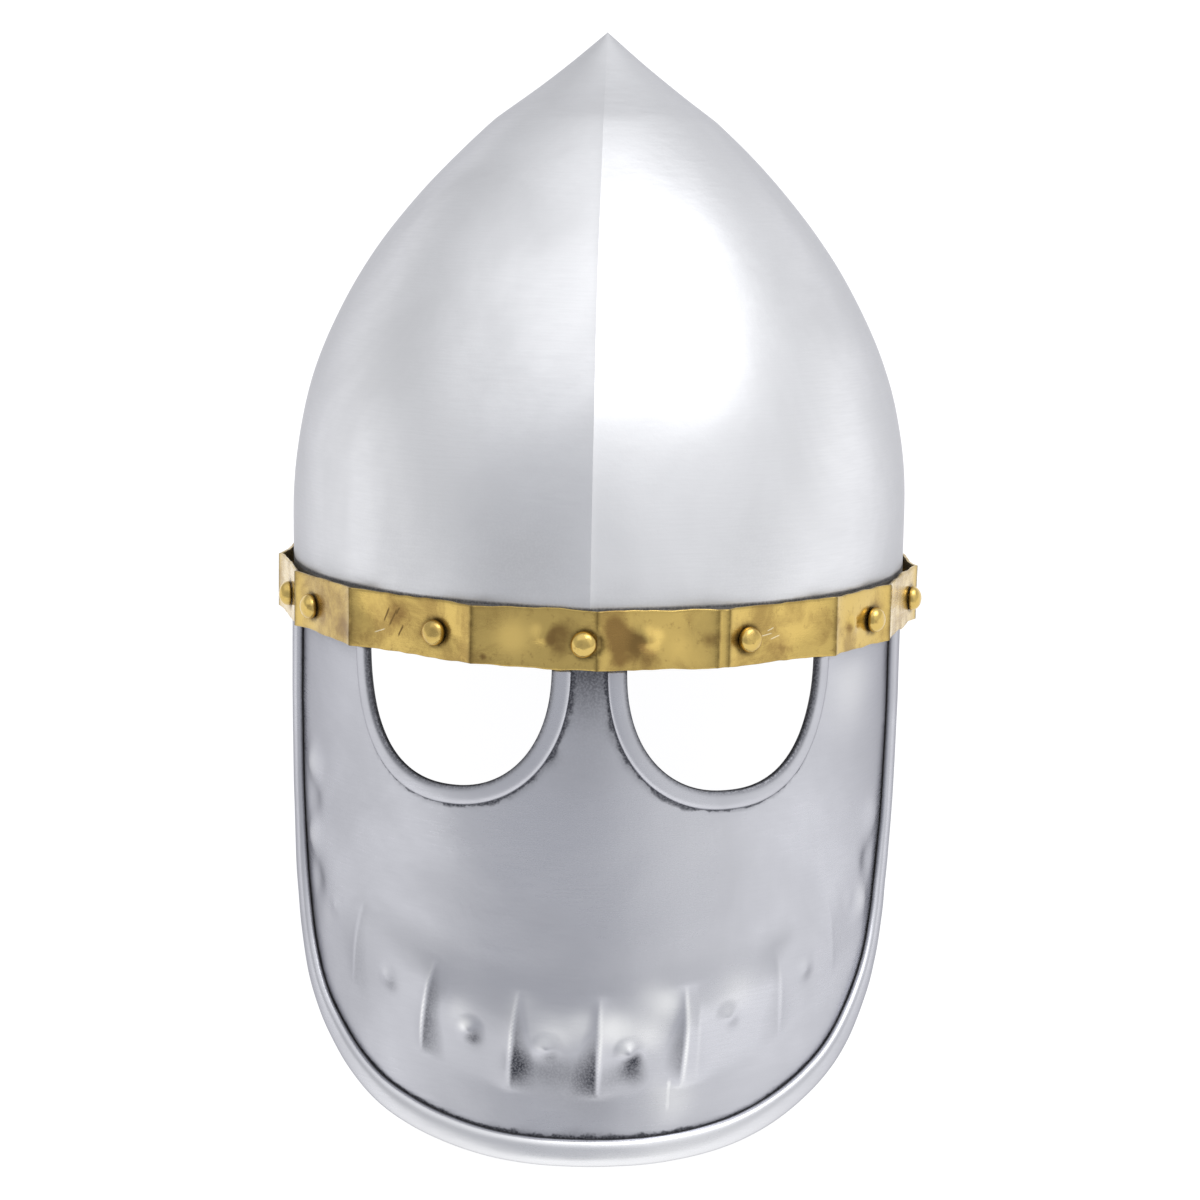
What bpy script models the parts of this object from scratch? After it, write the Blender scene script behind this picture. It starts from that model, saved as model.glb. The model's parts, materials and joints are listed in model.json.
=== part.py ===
"""Helmet with a pointed skull, a faceted brow band, a face mask with eye openings, and rivets.

Lengths are metres and angles degrees. Every piece is modelled upright, with z = 0 at the lower
edge of the band and the face looking along -Y. Angles go round from the middle of the face and
are positive towards +X. The pieces hang from an empty that tips the helmet back to the way it
rests by itself, on the jaw of the mask and the back of the band.
"""

from bisect import bisect_left
from math import atan2, cos, degrees, hypot, pi, radians, sin, sqrt

import bmesh
import bpy
from mathutils import Matrix, Vector

# Skull
SKULL_WIDTH = 0.208
SKULL_DEPTH = 0.241
SKULL_HEIGHT = 0.193
SKULL_WALL = 0.0015
RIM_HEIGHT = 0.0008
BELLY_HEIGHT = 0.031
OGIVE_POWER = 2.24
TIP_HOLLOW = 0.0022
TIP_HOLLOW_START = 0.85
KEEL_RISE = 0.0032
KEEL_REACH = 0.026
KEEL_SHARPNESS = 1.5
KEEL_FADE_WIDTH = 0.040
SKULL_ROWS = 14
SKULL_COLUMNS = 52
ROW_CROWDING = 1.4

# Brow band
BAND_HEIGHT = 0.018
BAND_THICKNESS = 0.001
BAND_STAND_OFF = 0.0032
BAND_KEEL_CLEARANCE = 0.0012
FRONT_CREASES = (-62.8, -43.6, -19.0, 1.2, 21.5, 43.8, 60.5)
BACK_CREASES = (82.0, 102.0, 121.0, 140.0, 160.0, 180.0, 200.0, 220.0, 239.0, 258.0, 278.0)

# Mask
PLATE_THICKNESS = 0.0015
PLATE_GAP = 0.0005
MASK_HALF_ARC = 0.1435
MASK_DEPTH = 0.1565
MASK_SIDE_POWER = 2.4
MASK_CHIN_POWER = 3.2
STRIP_HEIGHT = 0.0160
STRIP_SHOULDER = 0.0024
EDGE_ROLL_WIDTH = 0.0085
EDGE_ROLL_THICKNESS = 0.0045
EYE_HALF_WIDTH = 0.0333
EYE_DEPTH = 0.0393
EYE_CENTRE = 0.0445
EYE_TOP = 0.0005
EYE_POWER = 2.3
EYE_ROLL_WIDTH = 0.0060
EYE_ROLL_THICKNESS = 0.0036
ROLL_SINK = 0.0004
ROLL_TOP_GAP = 0.0004
EDGE_ROLL_PIECES = 66
EYE_ROLL_PIECES = 24
PLATE_REACH = 0.32
PLATE_ROW_PITCH = 0.008
PLATE_OFFSET = -(SKULL_WALL + PLATE_GAP + PLATE_THICKNESS / 2)

# Hammered row along the jaw
ROW_DEPTH = 0.1185
ROW_RADIUS = 0.173
ROW_REACH = 0.118
ROW_HALF_HEIGHT = 0.014
ROW_RISE = 0.0014
ROW_FALL_OFF = 1.5
RIB_RISE = 0.0018
RIB_PITCH = 0.0275
RIB_SHARPNESS = 4
ROW_END_FADE = 0.25

# Rivets
RIVET_HEIGHT = 0.008
HEAD_RADIUS = 0.0043
HEAD_HEIGHT = 0.0028
SHANK_RADIUS = 0.0018
TAIL_RADIUS = 0.0031
TAIL_HEIGHT = 0.0011
RIVET_GAP = 0.0003
RIVET_SIDES = 10
MASK_RIVETS = (-57.5, -26.2, -0.4, 26.1, 55.8)
SKULL_RIVETS = (78.9, 107.0, 131.0, 155.0, 178.0, 205.0, 229.0, 260.0, 289.5)

MERGE = 1e-5


def clear_scene():
    for old in list(bpy.data.objects):
        bpy.data.objects.remove(old, do_unlink=True)


def make_collection(name):
    made = bpy.data.collections.new(name)
    bpy.context.scene.collection.children.link(made)
    return made


def make_material(name, colour, metallic, roughness):
    made = bpy.data.materials.new(name)
    made.use_nodes = True
    shader = made.node_tree.nodes["Principled BSDF"]
    shader.inputs["Base Color"].default_value = (*colour, 1.0)
    shader.inputs["Metallic"].default_value = metallic
    shader.inputs["Roughness"].default_value = roughness
    return made


def add_object(name, mesh, home, parent=None, material=None):
    """An object of a mesh in a collection, smooth and with its material if it is a piece."""
    made = bpy.data.objects.new(name, mesh)
    home.objects.link(made)
    made.parent = parent
    if material:
        mesh.materials.clear()
        mesh.materials.append(material)
        mesh.shade_smooth()
        mesh.set_sharp_from_angle(angle=radians(30))
    return made


def mesh_from(bm, name):
    bmesh.ops.recalc_face_normals(bm, faces=bm.faces)
    mesh = bpy.data.meshes.new(name)
    bm.to_mesh(mesh)
    bm.free()
    return mesh


def applied(obj):
    """A mesh of the object as its modifiers leave it, with the object itself removed."""
    bpy.context.view_layer.update()
    graph = bpy.context.evaluated_depsgraph_get()
    mesh = bpy.data.meshes.new_from_object(obj.evaluated_get(graph))
    bpy.data.objects.remove(obj, do_unlink=True)
    return mesh


def cut(obj, cutter, operation="DIFFERENCE"):
    boolean = obj.modifiers.new(cutter.name, "BOOLEAN")
    boolean.object = cutter
    boolean.operation = operation


def as_cutter(obj):
    obj.hide_render = True
    obj.display_type = "WIRE"
    return obj


def spun(name, profile, steps, home):
    """A profile of (radius, height) points, top to bottom on the outside, turned about Z."""
    mesh = bpy.data.meshes.new(name)
    points = [(radius, 0.0, height) for radius, height in profile]
    mesh.from_pydata(points, [(i, i + 1) for i in range(len(points) - 1)], [])
    obj = bpy.data.objects.new(name, mesh)
    home.objects.link(obj)
    screw = obj.modifiers.new("turn", "SCREW")
    screw.steps = screw.render_steps = steps
    screw.use_merge_vertices = True
    screw.merge_threshold = MERGE
    return applied(obj)


def along(points, shares):
    """Points at the given shares of the length of a line of 2D points."""
    lengths = [0.0]
    for first, second in zip(points, points[1:]):
        lengths.append(lengths[-1] + hypot(second[0] - first[0], second[1] - first[1]))
    found = []
    for share in shares:
        target = share * lengths[-1]
        i = min(max(bisect_left(lengths, target), 1), len(lengths) - 1)
        part = (target - lengths[i - 1]) / (lengths[i] - lengths[i - 1])
        before, after = points[i - 1], points[i]
        found.append(tuple(a + part * (b - a) for a, b in zip(before, after)))
    return found


def oval(angle, offset=0.0, half_width=SKULL_WIDTH / 2):
    """The point of the skull's oval at an angle, moved outwards by an offset."""
    half_depth = half_width * SKULL_DEPTH / SKULL_WIDTH
    turn = radians(angle)
    return (half_width + offset) * sin(turn), -(half_depth + offset) * cos(turn)


def keel_rise(across, half_width=SKULL_WIDTH / 2):
    """How far the keel stands out at a distance from the middle."""
    near = max(0.0, 1.0 - abs(across) / KEEL_REACH)
    return KEEL_RISE * near**KEEL_SHARPNESS * min(1.0, half_width / KEEL_FADE_WIDTH)


def skull_half_width(height):
    above = max(0.0, (height - BELLY_HEIGHT) / (SKULL_HEIGHT - BELLY_HEIGHT))
    in_tip = max(0.0, (height / SKULL_HEIGHT - TIP_HOLLOW_START) / (1.0 - TIP_HOLLOW_START))
    return SKULL_WIDTH / 2 * (1.0 - above**OGIVE_POWER) - TIP_HOLLOW * sin(pi * min(1.0, in_tip))


def make_skull(home, parent, steel):
    """An open turned bowl, drawn out to the oval with its keels, and thickened inwards."""
    steps = 400
    heights = [SKULL_HEIGHT - i * (SKULL_HEIGHT - RIM_HEIGHT) / steps for i in range(steps + 1)]
    outline = [(max(0.0, skull_half_width(h)), h) for h in heights]
    outline[0] = (0.0, SKULL_HEIGHT)
    shares = [(i / SKULL_ROWS) ** ROW_CROWDING for i in range(SKULL_ROWS + 1)]
    mesh = spun("skull", along(outline, shares), SKULL_COLUMNS, home)
    for vertex in mesh.vertices:
        x, y, z = vertex.co
        radius = hypot(x, y)
        if radius < MERGE:
            continue
        px, py = oval(degrees(atan2(x, -y)), 0.0, radius)
        side = -1.0 if py < 0.0 else 1.0
        vertex.co = (px, py + side * keel_rise(px, radius), z)
    skull = add_object("skull", mesh, home, parent, steel)
    wall = skull.modifiers.new("wall", "SOLIDIFY")
    wall.thickness = SKULL_WALL
    wall.offset = -1.0
    wall.use_even_offset = True
    return skull


def crease_corner(angle, offset):
    """A crease of the band in plan, far enough out for the panels to clear skull and keel."""
    across = oval(angle)[0]
    stand_off = max(BAND_STAND_OFF, keel_rise(across) + BAND_KEEL_CLEARANCE)
    return oval(angle, stand_off + offset)


def make_band(home, parent, brass):
    """Flat panels between creases, raised as one strip and thickened outwards."""
    bm = bmesh.new()
    corners = [crease_corner(angle, 0.0) for angle in FRONT_CREASES + BACK_CREASES]
    lower = [bm.verts.new((x, y, 0.0)) for x, y in corners]
    ring = [bm.edges.new((a, b)) for a, b in zip(lower, lower[1:] + lower[:1])]
    raised = bmesh.ops.extrude_edge_only(bm, edges=ring)["geom"]
    top = [item for item in raised if isinstance(item, bmesh.types.BMVert)]
    bmesh.ops.translate(bm, verts=top, vec=(0.0, 0.0, BAND_HEIGHT))
    band = add_object("brow_band", mesh_from(bm, "brow_band"), home, parent, brass)
    wall = band.modifiers.new("wall", "SOLIDIFY")
    wall.thickness = BAND_THICKNESS
    wall.offset = 1.0
    wall.use_even_offset = True
    return band


def arc_lengths(last_angle=130.0, step=0.25):
    """Angles, and the lengths along the middle of the mask's plate up to each of them."""
    angles, lengths = [0.0], [0.0]
    place = oval(0.0, PLATE_OFFSET)
    while angles[-1] < last_angle:
        angles.append(angles[-1] + step)
        new = oval(angles[-1], PLATE_OFFSET)
        lengths.append(lengths[-1] + hypot(new[0] - place[0], new[1] - place[1]))
        place = new
    return angles, lengths


ARC_ANGLES, ARC_LENGTHS = arc_lengths()


def angle_at(arc):
    """The angle at a length along the plate from the middle of the face."""
    i = min(max(bisect_left(ARC_LENGTHS, abs(arc)), 1), len(ARC_LENGTHS) - 1)
    part = (abs(arc) - ARC_LENGTHS[i - 1]) / (ARC_LENGTHS[i] - ARC_LENGTHS[i - 1])
    angle = ARC_ANGLES[i - 1] + part * (ARC_ANGLES[i] - ARC_ANGLES[i - 1])
    return angle if arc >= 0.0 else -angle


def arc_at(angle):
    """The length along the plate at an angle."""
    i = min(bisect_left(ARC_ANGLES, abs(angle)), len(ARC_ANGLES) - 1)
    return ARC_LENGTHS[i] if angle >= 0.0 else -ARC_LENGTHS[i]


def rounded_u(half_width, depth, side_power, chin_power, centre=0.0):
    """A U from its left end at z = 0 round to its right end, as (arc, height) points."""
    points = []
    for i in range(-180, 181):
        turn = radians(i / 2)
        reach = abs(sin(turn)) ** (2.0 / side_power)
        drop = abs(cos(turn)) ** (2.0 / chin_power)
        points.append((centre + (half_width * reach if i >= 0 else -half_width * reach), -depth * drop))
    return points


def edge_line(share, top):
    """The mask's edge moved in by a share of its roll's width, in even steps up to a height."""
    inset = EDGE_ROLL_WIDTH * share
    line = rounded_u(MASK_HALF_ARC - inset, MASK_DEPTH - inset, MASK_SIDE_POWER, MASK_CHIN_POWER)
    return evenly(below(line, top), EDGE_ROLL_PIECES)


def eye_line(side, share, top):
    """An eye opening moved out by a share of its roll's width, in even steps up to a height."""
    outset = EYE_ROLL_WIDTH * share
    width, depth = EYE_HALF_WIDTH + outset, EYE_DEPTH + outset
    line = rounded_u(width, depth, EYE_POWER, EYE_POWER, side * EYE_CENTRE)
    return evenly(below(line, top), EYE_ROLL_PIECES)


def below(points, height):
    """The points of a U under a height, with its two ends brought up to that height."""
    kept = [p for p in points if p[1] < height]
    return [(kept[0][0], height)] + kept + [(kept[-1][0], height)]


def evenly(points, pieces):
    return along(points, [i / pieces for i in range(pieces + 1)])


def flat_slab(name, outline, home):
    """A closed slab of an (arc, height) outline, thicker than the mask, to cut it with."""
    bm = bmesh.new()
    thick = 8 * PLATE_THICKNESS
    base = bm.faces.new([bm.verts.new((arc, thick, height)) for arc, height in outline])
    pulled = bmesh.ops.extrude_face_region(bm, geom=[base])["geom"]
    front = [item for item in pulled if isinstance(item, bmesh.types.BMVert)]
    bmesh.ops.translate(bm, verts=front, vec=(0.0, -2 * thick, 0.0))
    return as_cutter(add_object(name, mesh_from(bm, name), home))


def flat_roll(name, route, width, thickness, home):
    """A rolled edge along a line, with its lowest part just inside the plate."""
    curve = bpy.data.curves.new(name, "CURVE")
    curve.dimensions = "3D"
    curve.bevel_depth = width / 2
    curve.bevel_resolution = 2
    curve.use_fill_caps = True
    spline = curve.splines.new("POLY")
    spline.points.add(len(route) - 1)
    for point, (arc, height) in zip(spline.points, route):
        point.co = (arc, 0.0, height, 1.0)
    guide = bpy.data.objects.new(name, curve)
    home.objects.link(guide)
    mesh = applied(guide)
    bm = bmesh.new()
    bm.from_mesh(mesh)
    bmesh.ops.remove_doubles(bm, verts=bm.verts, dist=MERGE)
    middle = thickness / 2 - PLATE_THICKNESS / 2 + ROLL_SINK
    bmesh.ops.scale(bm, verts=bm.verts, vec=(1.0, thickness / width, 1.0))
    bmesh.ops.translate(bm, verts=bm.verts, vec=(0.0, -middle, 0.0))
    return as_cutter(add_object(name, mesh_from(bm, name), home))


def hammered(arc, height):
    """Outward rise of the row along the jaw: a swelling crossed by upright ribs."""
    if abs(arc) >= ROW_REACH:
        return 0.0
    middle = -ROW_DEPTH + ROW_RADIUS - sqrt(ROW_RADIUS**2 - arc**2)
    across = abs(height - middle) / ROW_HALF_HEIGHT
    if across >= 1.0:
        return 0.0
    rib = abs(cos(pi * arc / RIB_PITCH)) ** RIB_SHARPNESS
    fade = min(1.0, (1.0 - abs(arc) / ROW_REACH) / ROW_END_FADE)
    return fade * (1.0 - across**2) ** ROW_FALL_OFF * (ROW_RISE + RIB_RISE * rib)


def strip_half_arc():
    """Half the length of the riveted strip, which ends between two rivets on either side."""
    last_held = max(abs(angle) for angle in MASK_RIVETS)
    first_free = min(min(angle, 360.0 - angle) for angle in SKULL_RIVETS)
    return arc_at((last_held + first_free) / 2)


def make_flat_plate(home):
    pitch = RIB_PITCH / 4
    columns = round(2 * MASK_HALF_ARC / pitch) + 2
    columns += columns % 2
    rows = round((MASK_DEPTH + STRIP_HEIGHT) / PLATE_ROW_PITCH) + 2
    bm = bmesh.new()
    bmesh.ops.create_grid(bm, x_segments=columns, y_segments=rows, size=0.5)
    tall = rows * PLATE_ROW_PITCH
    bmesh.ops.scale(bm, verts=bm.verts, vec=(columns * pitch, tall, 1.0))
    bmesh.ops.rotate(bm, verts=bm.verts, matrix=Matrix.Rotation(radians(90), 3, "X"))
    rise = (STRIP_HEIGHT - MASK_DEPTH) / 2
    bmesh.ops.translate(bm, verts=bm.verts, vec=(0.0, 0.0, rise))
    plate = add_object("flat_plate", mesh_from(bm, "flat_plate"), home)
    wall = plate.modifiers.new("wall", "SOLIDIFY")
    wall.thickness = PLATE_THICKNESS
    wall.offset = 0.0
    return plate


def make_mask(home, cutters, parent, steel):
    """The plate cut flat to its outline, joined with its rolled edges, and bent round."""
    plate = make_flat_plate(home)
    strip = strip_half_arc()
    outline = edge_line(PLATE_REACH, -STRIP_SHOULDER)
    outline += [(strip, -STRIP_SHOULDER), (strip, STRIP_HEIGHT)]
    outline += [(-strip, STRIP_HEIGHT), (-strip, -STRIP_SHOULDER)]
    helpers = [flat_slab("mask_outline", outline, cutters)]
    cut(plate, helpers[0], "INTERSECT")
    for name, side in (("left", -1), ("right", 1)):
        hole = flat_slab(f"{name}_eye", eye_line(side, PLATE_REACH, EYE_TOP), cutters)
        helpers.append(hole)
        cut(plate, hole)
    edge = edge_line(0.5, -ROLL_TOP_GAP)
    rolls = [flat_roll("edge_roll", edge, EDGE_ROLL_WIDTH, EDGE_ROLL_THICKNESS, cutters)]
    for name, side in (("left", -1), ("right", 1)):
        rim = eye_line(side, 0.5, -ROLL_TOP_GAP)
        rolls.append(flat_roll(f"{name}_eye_roll", rim, EYE_ROLL_WIDTH, EYE_ROLL_THICKNESS, cutters))
    for roll in rolls:
        cut(plate, roll, "UNION")
    bm = bmesh.new()
    bm.from_mesh(applied(plate))
    for helper in helpers + rolls:
        bpy.data.objects.remove(helper, do_unlink=True)
    bmesh.ops.remove_doubles(bm, verts=bm.verts, dist=MERGE)
    bmesh.ops.dissolve_degenerate(bm, edges=bm.edges, dist=MERGE)
    for vertex in bm.verts:
        arc, back, height = vertex.co
        offset = PLATE_OFFSET - back + hammered(arc, height)
        vertex.co = (*oval(angle_at(arc), offset), height)
    return add_object("face_mask", mesh_from(bm, "face_mask"), home, parent, steel)


def band_panel(angle):
    """The middle and the outward direction of the band at an angle, on its outer face."""
    creases = sorted(a if a < 180.0 else a - 360.0 for a in FRONT_CREASES + BACK_CREASES)
    turned = angle if angle < 180.0 else angle - 360.0
    after = bisect_left(creases, turned) % len(creases)
    first = Vector(crease_corner(creases[after - 1], 0.0))
    second = Vector(crease_corner(creases[after], 0.0))
    run = (second - first).normalized()
    outward = Vector((run.y, -run.x))
    aim = Vector(oval(turned))
    start = first + run * (aim - first).dot(run)
    return start + outward * BAND_THICKNESS, outward


def rivet_profile(grip):
    """Half of a rivet's section: domed head above z = 0, shank through the grip, peened tail."""
    head_steps, tail_steps = 3, 2
    points = []
    for i in range(head_steps + 1):
        turn = pi / 2 * i / head_steps
        points.append((HEAD_RADIUS * sin(turn), HEAD_HEIGHT * cos(turn)))
    points += [(SHANK_RADIUS, 0.0), (SHANK_RADIUS, -grip)]
    for i in range(tail_steps + 1):
        turn = pi / 2 * (1 - i / tail_steps)
        points.append((TAIL_RADIUS * sin(turn), -grip - TAIL_HEIGHT * cos(turn)))
    points[0] = (0.0, HEAD_HEIGHT)
    points[-1] = (0.0, -grip - TAIL_HEIGHT)
    return points


def rivet_grip(angle, start, outward):
    """The length of shank from the head to a tail that clears the last plate, where the plate leans."""
    depth = SKULL_WALL
    if angle in MASK_RIVETS:
        depth += PLATE_GAP + PLATE_THICKNESS
    inner = Vector(oval(angle, -depth))
    before, after = Vector(oval(angle - 1.0)), Vector(oval(angle + 1.0))
    lean = abs((after - before).normalized().dot(outward))
    return (start - inner).dot(outward) + TAIL_RADIUS * lean + 2 * RIVET_GAP


def make_rivets(home, parent, brass):
    """The rivets, and the places of their holes as (place, turn, grip)."""
    holes = []
    for number, angle in enumerate(sorted(MASK_RIVETS + SKULL_RIVETS), start=1):
        start, outward = band_panel(angle)
        grip = rivet_grip(angle, start, outward)
        aim = Vector((outward.x, outward.y, 0.0))
        turn = aim.to_track_quat("Z", "Y")
        place = Vector((start.x, start.y, RIVET_HEIGHT)) + aim * RIVET_GAP
        mesh = spun(f"rivet_{number:02d}", rivet_profile(grip), RIVET_SIDES, home)
        rivet = add_object(f"rivet_{number:02d}", mesh, home, parent, brass)
        rivet.rotation_mode = "QUATERNION"
        rivet.rotation_quaternion = turn
        rivet.location = place
        holes.append((place, turn, grip))
    return holes


def make_hole_cutter(holes, cutters, parent):
    """One round bar for each rivet, a little wider than its shank."""
    bm = bmesh.new()
    radius = SHANK_RADIUS + RIVET_GAP
    for place, turn, grip in holes:
        length = grip + 4 * HEAD_HEIGHT
        middle = Matrix.Translation((0.0, 0.0, -grip / 2))
        bmesh.ops.create_cone(bm, cap_ends=True, segments=RIVET_SIDES, radius1=radius, radius2=radius,
                              depth=length, matrix=Matrix.LocRotScale(place, turn, None) @ middle)
    return as_cutter(add_object("rivet_holes", mesh_from(bm, "rivet_holes"), cutters, parent))


def lowest(points, tilt):
    """The lowest level of the points with the helmet tipped back by a tilt."""
    turn = radians(tilt)
    return min(z * cos(turn) - y * sin(turn) for x, y, z in points)


def resting_tilt(points):
    """The tilt at which the front and the back of the helmet touch the same level."""
    front = [p for p in points if p[1] < 0.0]
    back = [p for p in points if p[1] >= 0.0]
    low, high = 0.0, 80.0
    for _ in range(40):
        middle = (low + high) / 2
        if lowest(front, middle) < lowest(back, middle):
            low = middle
        else:
            high = middle
    return (low + high) / 2


def rest(frame, pieces):
    """Tips the frame back and moves it so that the helmet stands on z = 0, centred on the origin."""
    bpy.context.view_layer.update()
    graph = bpy.context.evaluated_depsgraph_get()
    points = []
    for piece in pieces:
        done = piece.evaluated_get(graph)
        points += [tuple(done.matrix_world @ vertex.co) for vertex in done.to_mesh().vertices]
        done.to_mesh_clear()
    tilt = resting_tilt(points)
    tip = Matrix.Rotation(-radians(tilt), 3, "X")
    turned = [tip @ Vector(point) for point in points]
    lows = [min(point[axis] for point in turned) for axis in range(3)]
    highs = [max(point[axis] for point in turned) for axis in range(3)]
    frame.rotation_euler.x = -radians(tilt)
    frame.location = (-(lows[0] + highs[0]) / 2, -(lows[1] + highs[1]) / 2, -lows[2])


def main():
    clear_scene()
    home = make_collection("nasal_helmet")
    cutters = make_collection("cutters")
    steel = make_material("skull_steel", (0.60, 0.61, 0.64), 1.0, 0.28)
    mask_steel = make_material("mask_steel", (0.54, 0.55, 0.58), 1.0, 0.32)
    brass = make_material("band_brass", (0.68, 0.48, 0.17), 1.0, 0.30)
    rivet_brass = make_material("rivet_brass", (0.72, 0.52, 0.20), 1.0, 0.25)

    frame = bpy.data.objects.new("resting_frame", None)
    home.objects.link(frame)
    skull = make_skull(home, frame, steel)
    band = make_band(home, frame, brass)
    mask = make_mask(home, cutters, frame, mask_steel)
    holes = make_rivets(home, frame, rivet_brass)
    hole_cutter = make_hole_cutter(holes, cutters, frame)
    for plate in (skull, band, mask):
        cut(plate, hole_cutter)
    rest(frame, [skull, band, mask])


main()
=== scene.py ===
"""Polished steel helmet with a keeled skull, a faceted brass brow band and a riveted face mask.

Lengths are metres and angles degrees. Every piece is modelled upright, with z = 0 at the lower
edge of the band and the face along -Y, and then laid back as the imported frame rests. Angles go
round from the middle of the face and are positive towards +X. The mask is first made flat, as
(arc, back, height): the length along the plate, the depth behind it and the height.
"""

import json
from bisect import bisect_left
from collections import namedtuple
from math import acos, atan2, copysign, cos, degrees, dist, exp, hypot, pi, radians, sin, sqrt

import bmesh
import bpy
from bpy.props import FloatProperty, FloatVectorProperty, PointerProperty
from mathutils import Matrix, Vector, noise
from mathutils.geometry import delaunay_2d_cdt
from mathutils.kdtree import KDTree


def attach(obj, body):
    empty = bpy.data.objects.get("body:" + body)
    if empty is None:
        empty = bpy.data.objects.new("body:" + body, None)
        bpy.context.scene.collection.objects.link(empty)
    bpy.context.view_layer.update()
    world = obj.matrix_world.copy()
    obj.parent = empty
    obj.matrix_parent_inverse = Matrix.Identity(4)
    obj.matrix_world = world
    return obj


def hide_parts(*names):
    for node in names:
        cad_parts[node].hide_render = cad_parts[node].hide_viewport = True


bl_info = {
    "name": "Keeled Helmet",
    "version": (1, 0, 0),
    "blender": (4, 5, 0),
    "location": "View3D > Sidebar > Helmet",
    "description": "Builds a steel helmet with a brass brow band and a face mask, ready to render",
    "category": "Object",
}

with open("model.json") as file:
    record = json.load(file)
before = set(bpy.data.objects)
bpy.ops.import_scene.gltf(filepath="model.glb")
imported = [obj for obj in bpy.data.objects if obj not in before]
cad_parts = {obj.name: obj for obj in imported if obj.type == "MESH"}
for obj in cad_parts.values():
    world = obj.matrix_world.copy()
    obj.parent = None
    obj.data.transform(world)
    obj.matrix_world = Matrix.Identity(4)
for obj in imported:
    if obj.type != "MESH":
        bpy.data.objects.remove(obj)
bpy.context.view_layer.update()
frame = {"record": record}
HEAD = next(m for m in frame["record"]["mounts"] if m["name"] == "head")
UPRIGHT = -Vector(HEAD["axis"]).normalized()
CENTRE = Vector(HEAD["pos_m"])
REST = Matrix.Translation(CENTRE) @ Matrix.Rotation(-atan2(UPRIGHT.y, UPRIGHT.z), 4, "X")


def rows_of(kind, *rows):
    """A table's rows with their columns named."""
    return tuple(kind(*row) for row in rows)


# Angles of the band's creases and of the rivets, those through the mask and those behind it
CREASES = (
    -62.8, -43.6, -19.0, 1.2, 20.6, 22.4, 43.8, 60.5, 82.0, 102.0, 121.0, 140.0,
    160.0, 180.0, 200.0, 220.0, 239.0, 258.0, 278.0,
)
MASK_RIVETS = (-57.5, -26.2, -0.4, 26.1, 55.8)
SKULL_RIVETS = (78.9, 107.0, 131.0, 155.0, 178.0, 205.0, 229.0, 260.0, 289.5)

# The hammered row: its ridges, with the dirt and painted shade on either side of them, and its knobs
Ridge = namedtuple("Ridge", "arc lean rise left right")
RIDGES = rows_of(
    Ridge,
    (-0.11, 0.0035, 0.3, 0.0, 0.1), (-0.083, 0.0035, 0.6, 0.0, 0.25),
    (-0.051, 0.003, 1.0, 0.0, 0.85), (-0.0215, 0.0015, 1.0, 0.0, 0.9),
    (0.0047, 0.0003, 1.0, 0.9, 0.0), (0.0312, 0.0003, 1.0, 0.7, 0.0),
    (0.0352, -0.0004, 0.55, 0.0, 0.0), (0.0646, -0.002, 0.6, 0.2, 0.1),
    (0.09, -0.003, 0.4, 0.0, 0.0), (0.11, -0.0035, 0.3, 0.0, 0.0),
)
# A knob's last column sets the painted shade below it and the painted highlight above it
Knob = namedtuple("Knob", "arc height rise dirt")
KNOBS = rows_of(
    Knob,
    (-0.0977, -0.089, 0.5, 0.2), (-0.0669, -0.105, 0.6, 0.4), (-0.0355, -0.116, 1.0, 0.9),
    (-0.011, -0.119, 1.0, 0.5), (0.014, -0.12, 1.4, 1.0), (0.046, -0.111, 0.9, 0.3),
    (0.076, -0.101, 0.6, 0.3), (0.1022, -0.084, 0.5, 0.2),
)

# Stains and painted light. Their places are angles on the skull and the band, and arcs on the mask.
# The depth is how dark they are: stains, patina, and painted shade beside the bumps, knobs and dents
# and under the band. Where it is negative, it is a painted highlight.
StainAndLight = namedtuple("StainAndLight", "place height reach depth")
SKULL_STAINS_AND_PAINTED_LIGHT = rows_of(
    StainAndLight,
    (-11.0, 0.03, 0.018, 0.2), (5.5, 0.022, 0.007, 0.12), (4.0, 0.04, 0.01, -0.12),
    (-34.0, 0.03, 0.022, 0.13), (-22.0, 0.085, 0.02, 0.07), (30.0, 0.026, 0.02, 0.14),
)
MASK_STAINS_AND_PAINTED_LIGHT = rows_of(
    StainAndLight,
    (0.001, -0.134, 0.009, 0.24), (0.027, -0.135, 0.009, -0.5), (-0.018, -0.105, 0.005, -0.2),
    (-0.009, -0.1145, 0.007, -0.5), (0.0, -0.11, 0.0045, -0.4), (-0.0195, -0.1245, 0.0045, 0.45),
    (-0.012, -0.1265, 0.006, 0.4), (-0.003, -0.1262, 0.006, 0.34), (-0.046, -0.106, 0.005, 0.3),
    (0.0095, -0.112, 0.0055, -0.6), (0.02, -0.1145, 0.006, -0.45), (0.0265, -0.105, 0.005, -0.55),
    (0.02, -0.102, 0.006, -0.3), (0.0147, -0.1255, 0.0036, 0.75), (0.009, -0.128, 0.004, 0.25),
    (0.0175, -0.129, 0.004, 0.3), (-0.04, -0.11, 0.006, -0.3), (0.048, -0.102, 0.008, -0.3),
    (-0.118, -0.046, 0.006, -0.35), (-0.116, -0.058, 0.005, 0.2), (-0.117, -0.07, 0.005, -0.3),
    (-0.112, -0.084, 0.005, 0.18), (-0.104, -0.094, 0.006, -0.25), (0.117, -0.074, 0.005, 0.15),
    (0.112, -0.086, 0.006, -0.35), (0.0, -0.006, 0.012, 0.45), (0.0, -0.032, 0.012, 0.12),
    (-0.0125, -0.027, 0.003, 0.7), (-0.0165, -0.0315, 0.0022, 0.6), (0.0145, -0.029, 0.0026, 0.4),
    (0.036, -0.055, 0.022, -0.14), (0.1, -0.012, 0.018, -0.42), (-0.085, -0.058, 0.026, 0.13),
    (-0.085, -0.108, 0.02, 0.12),
)
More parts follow.
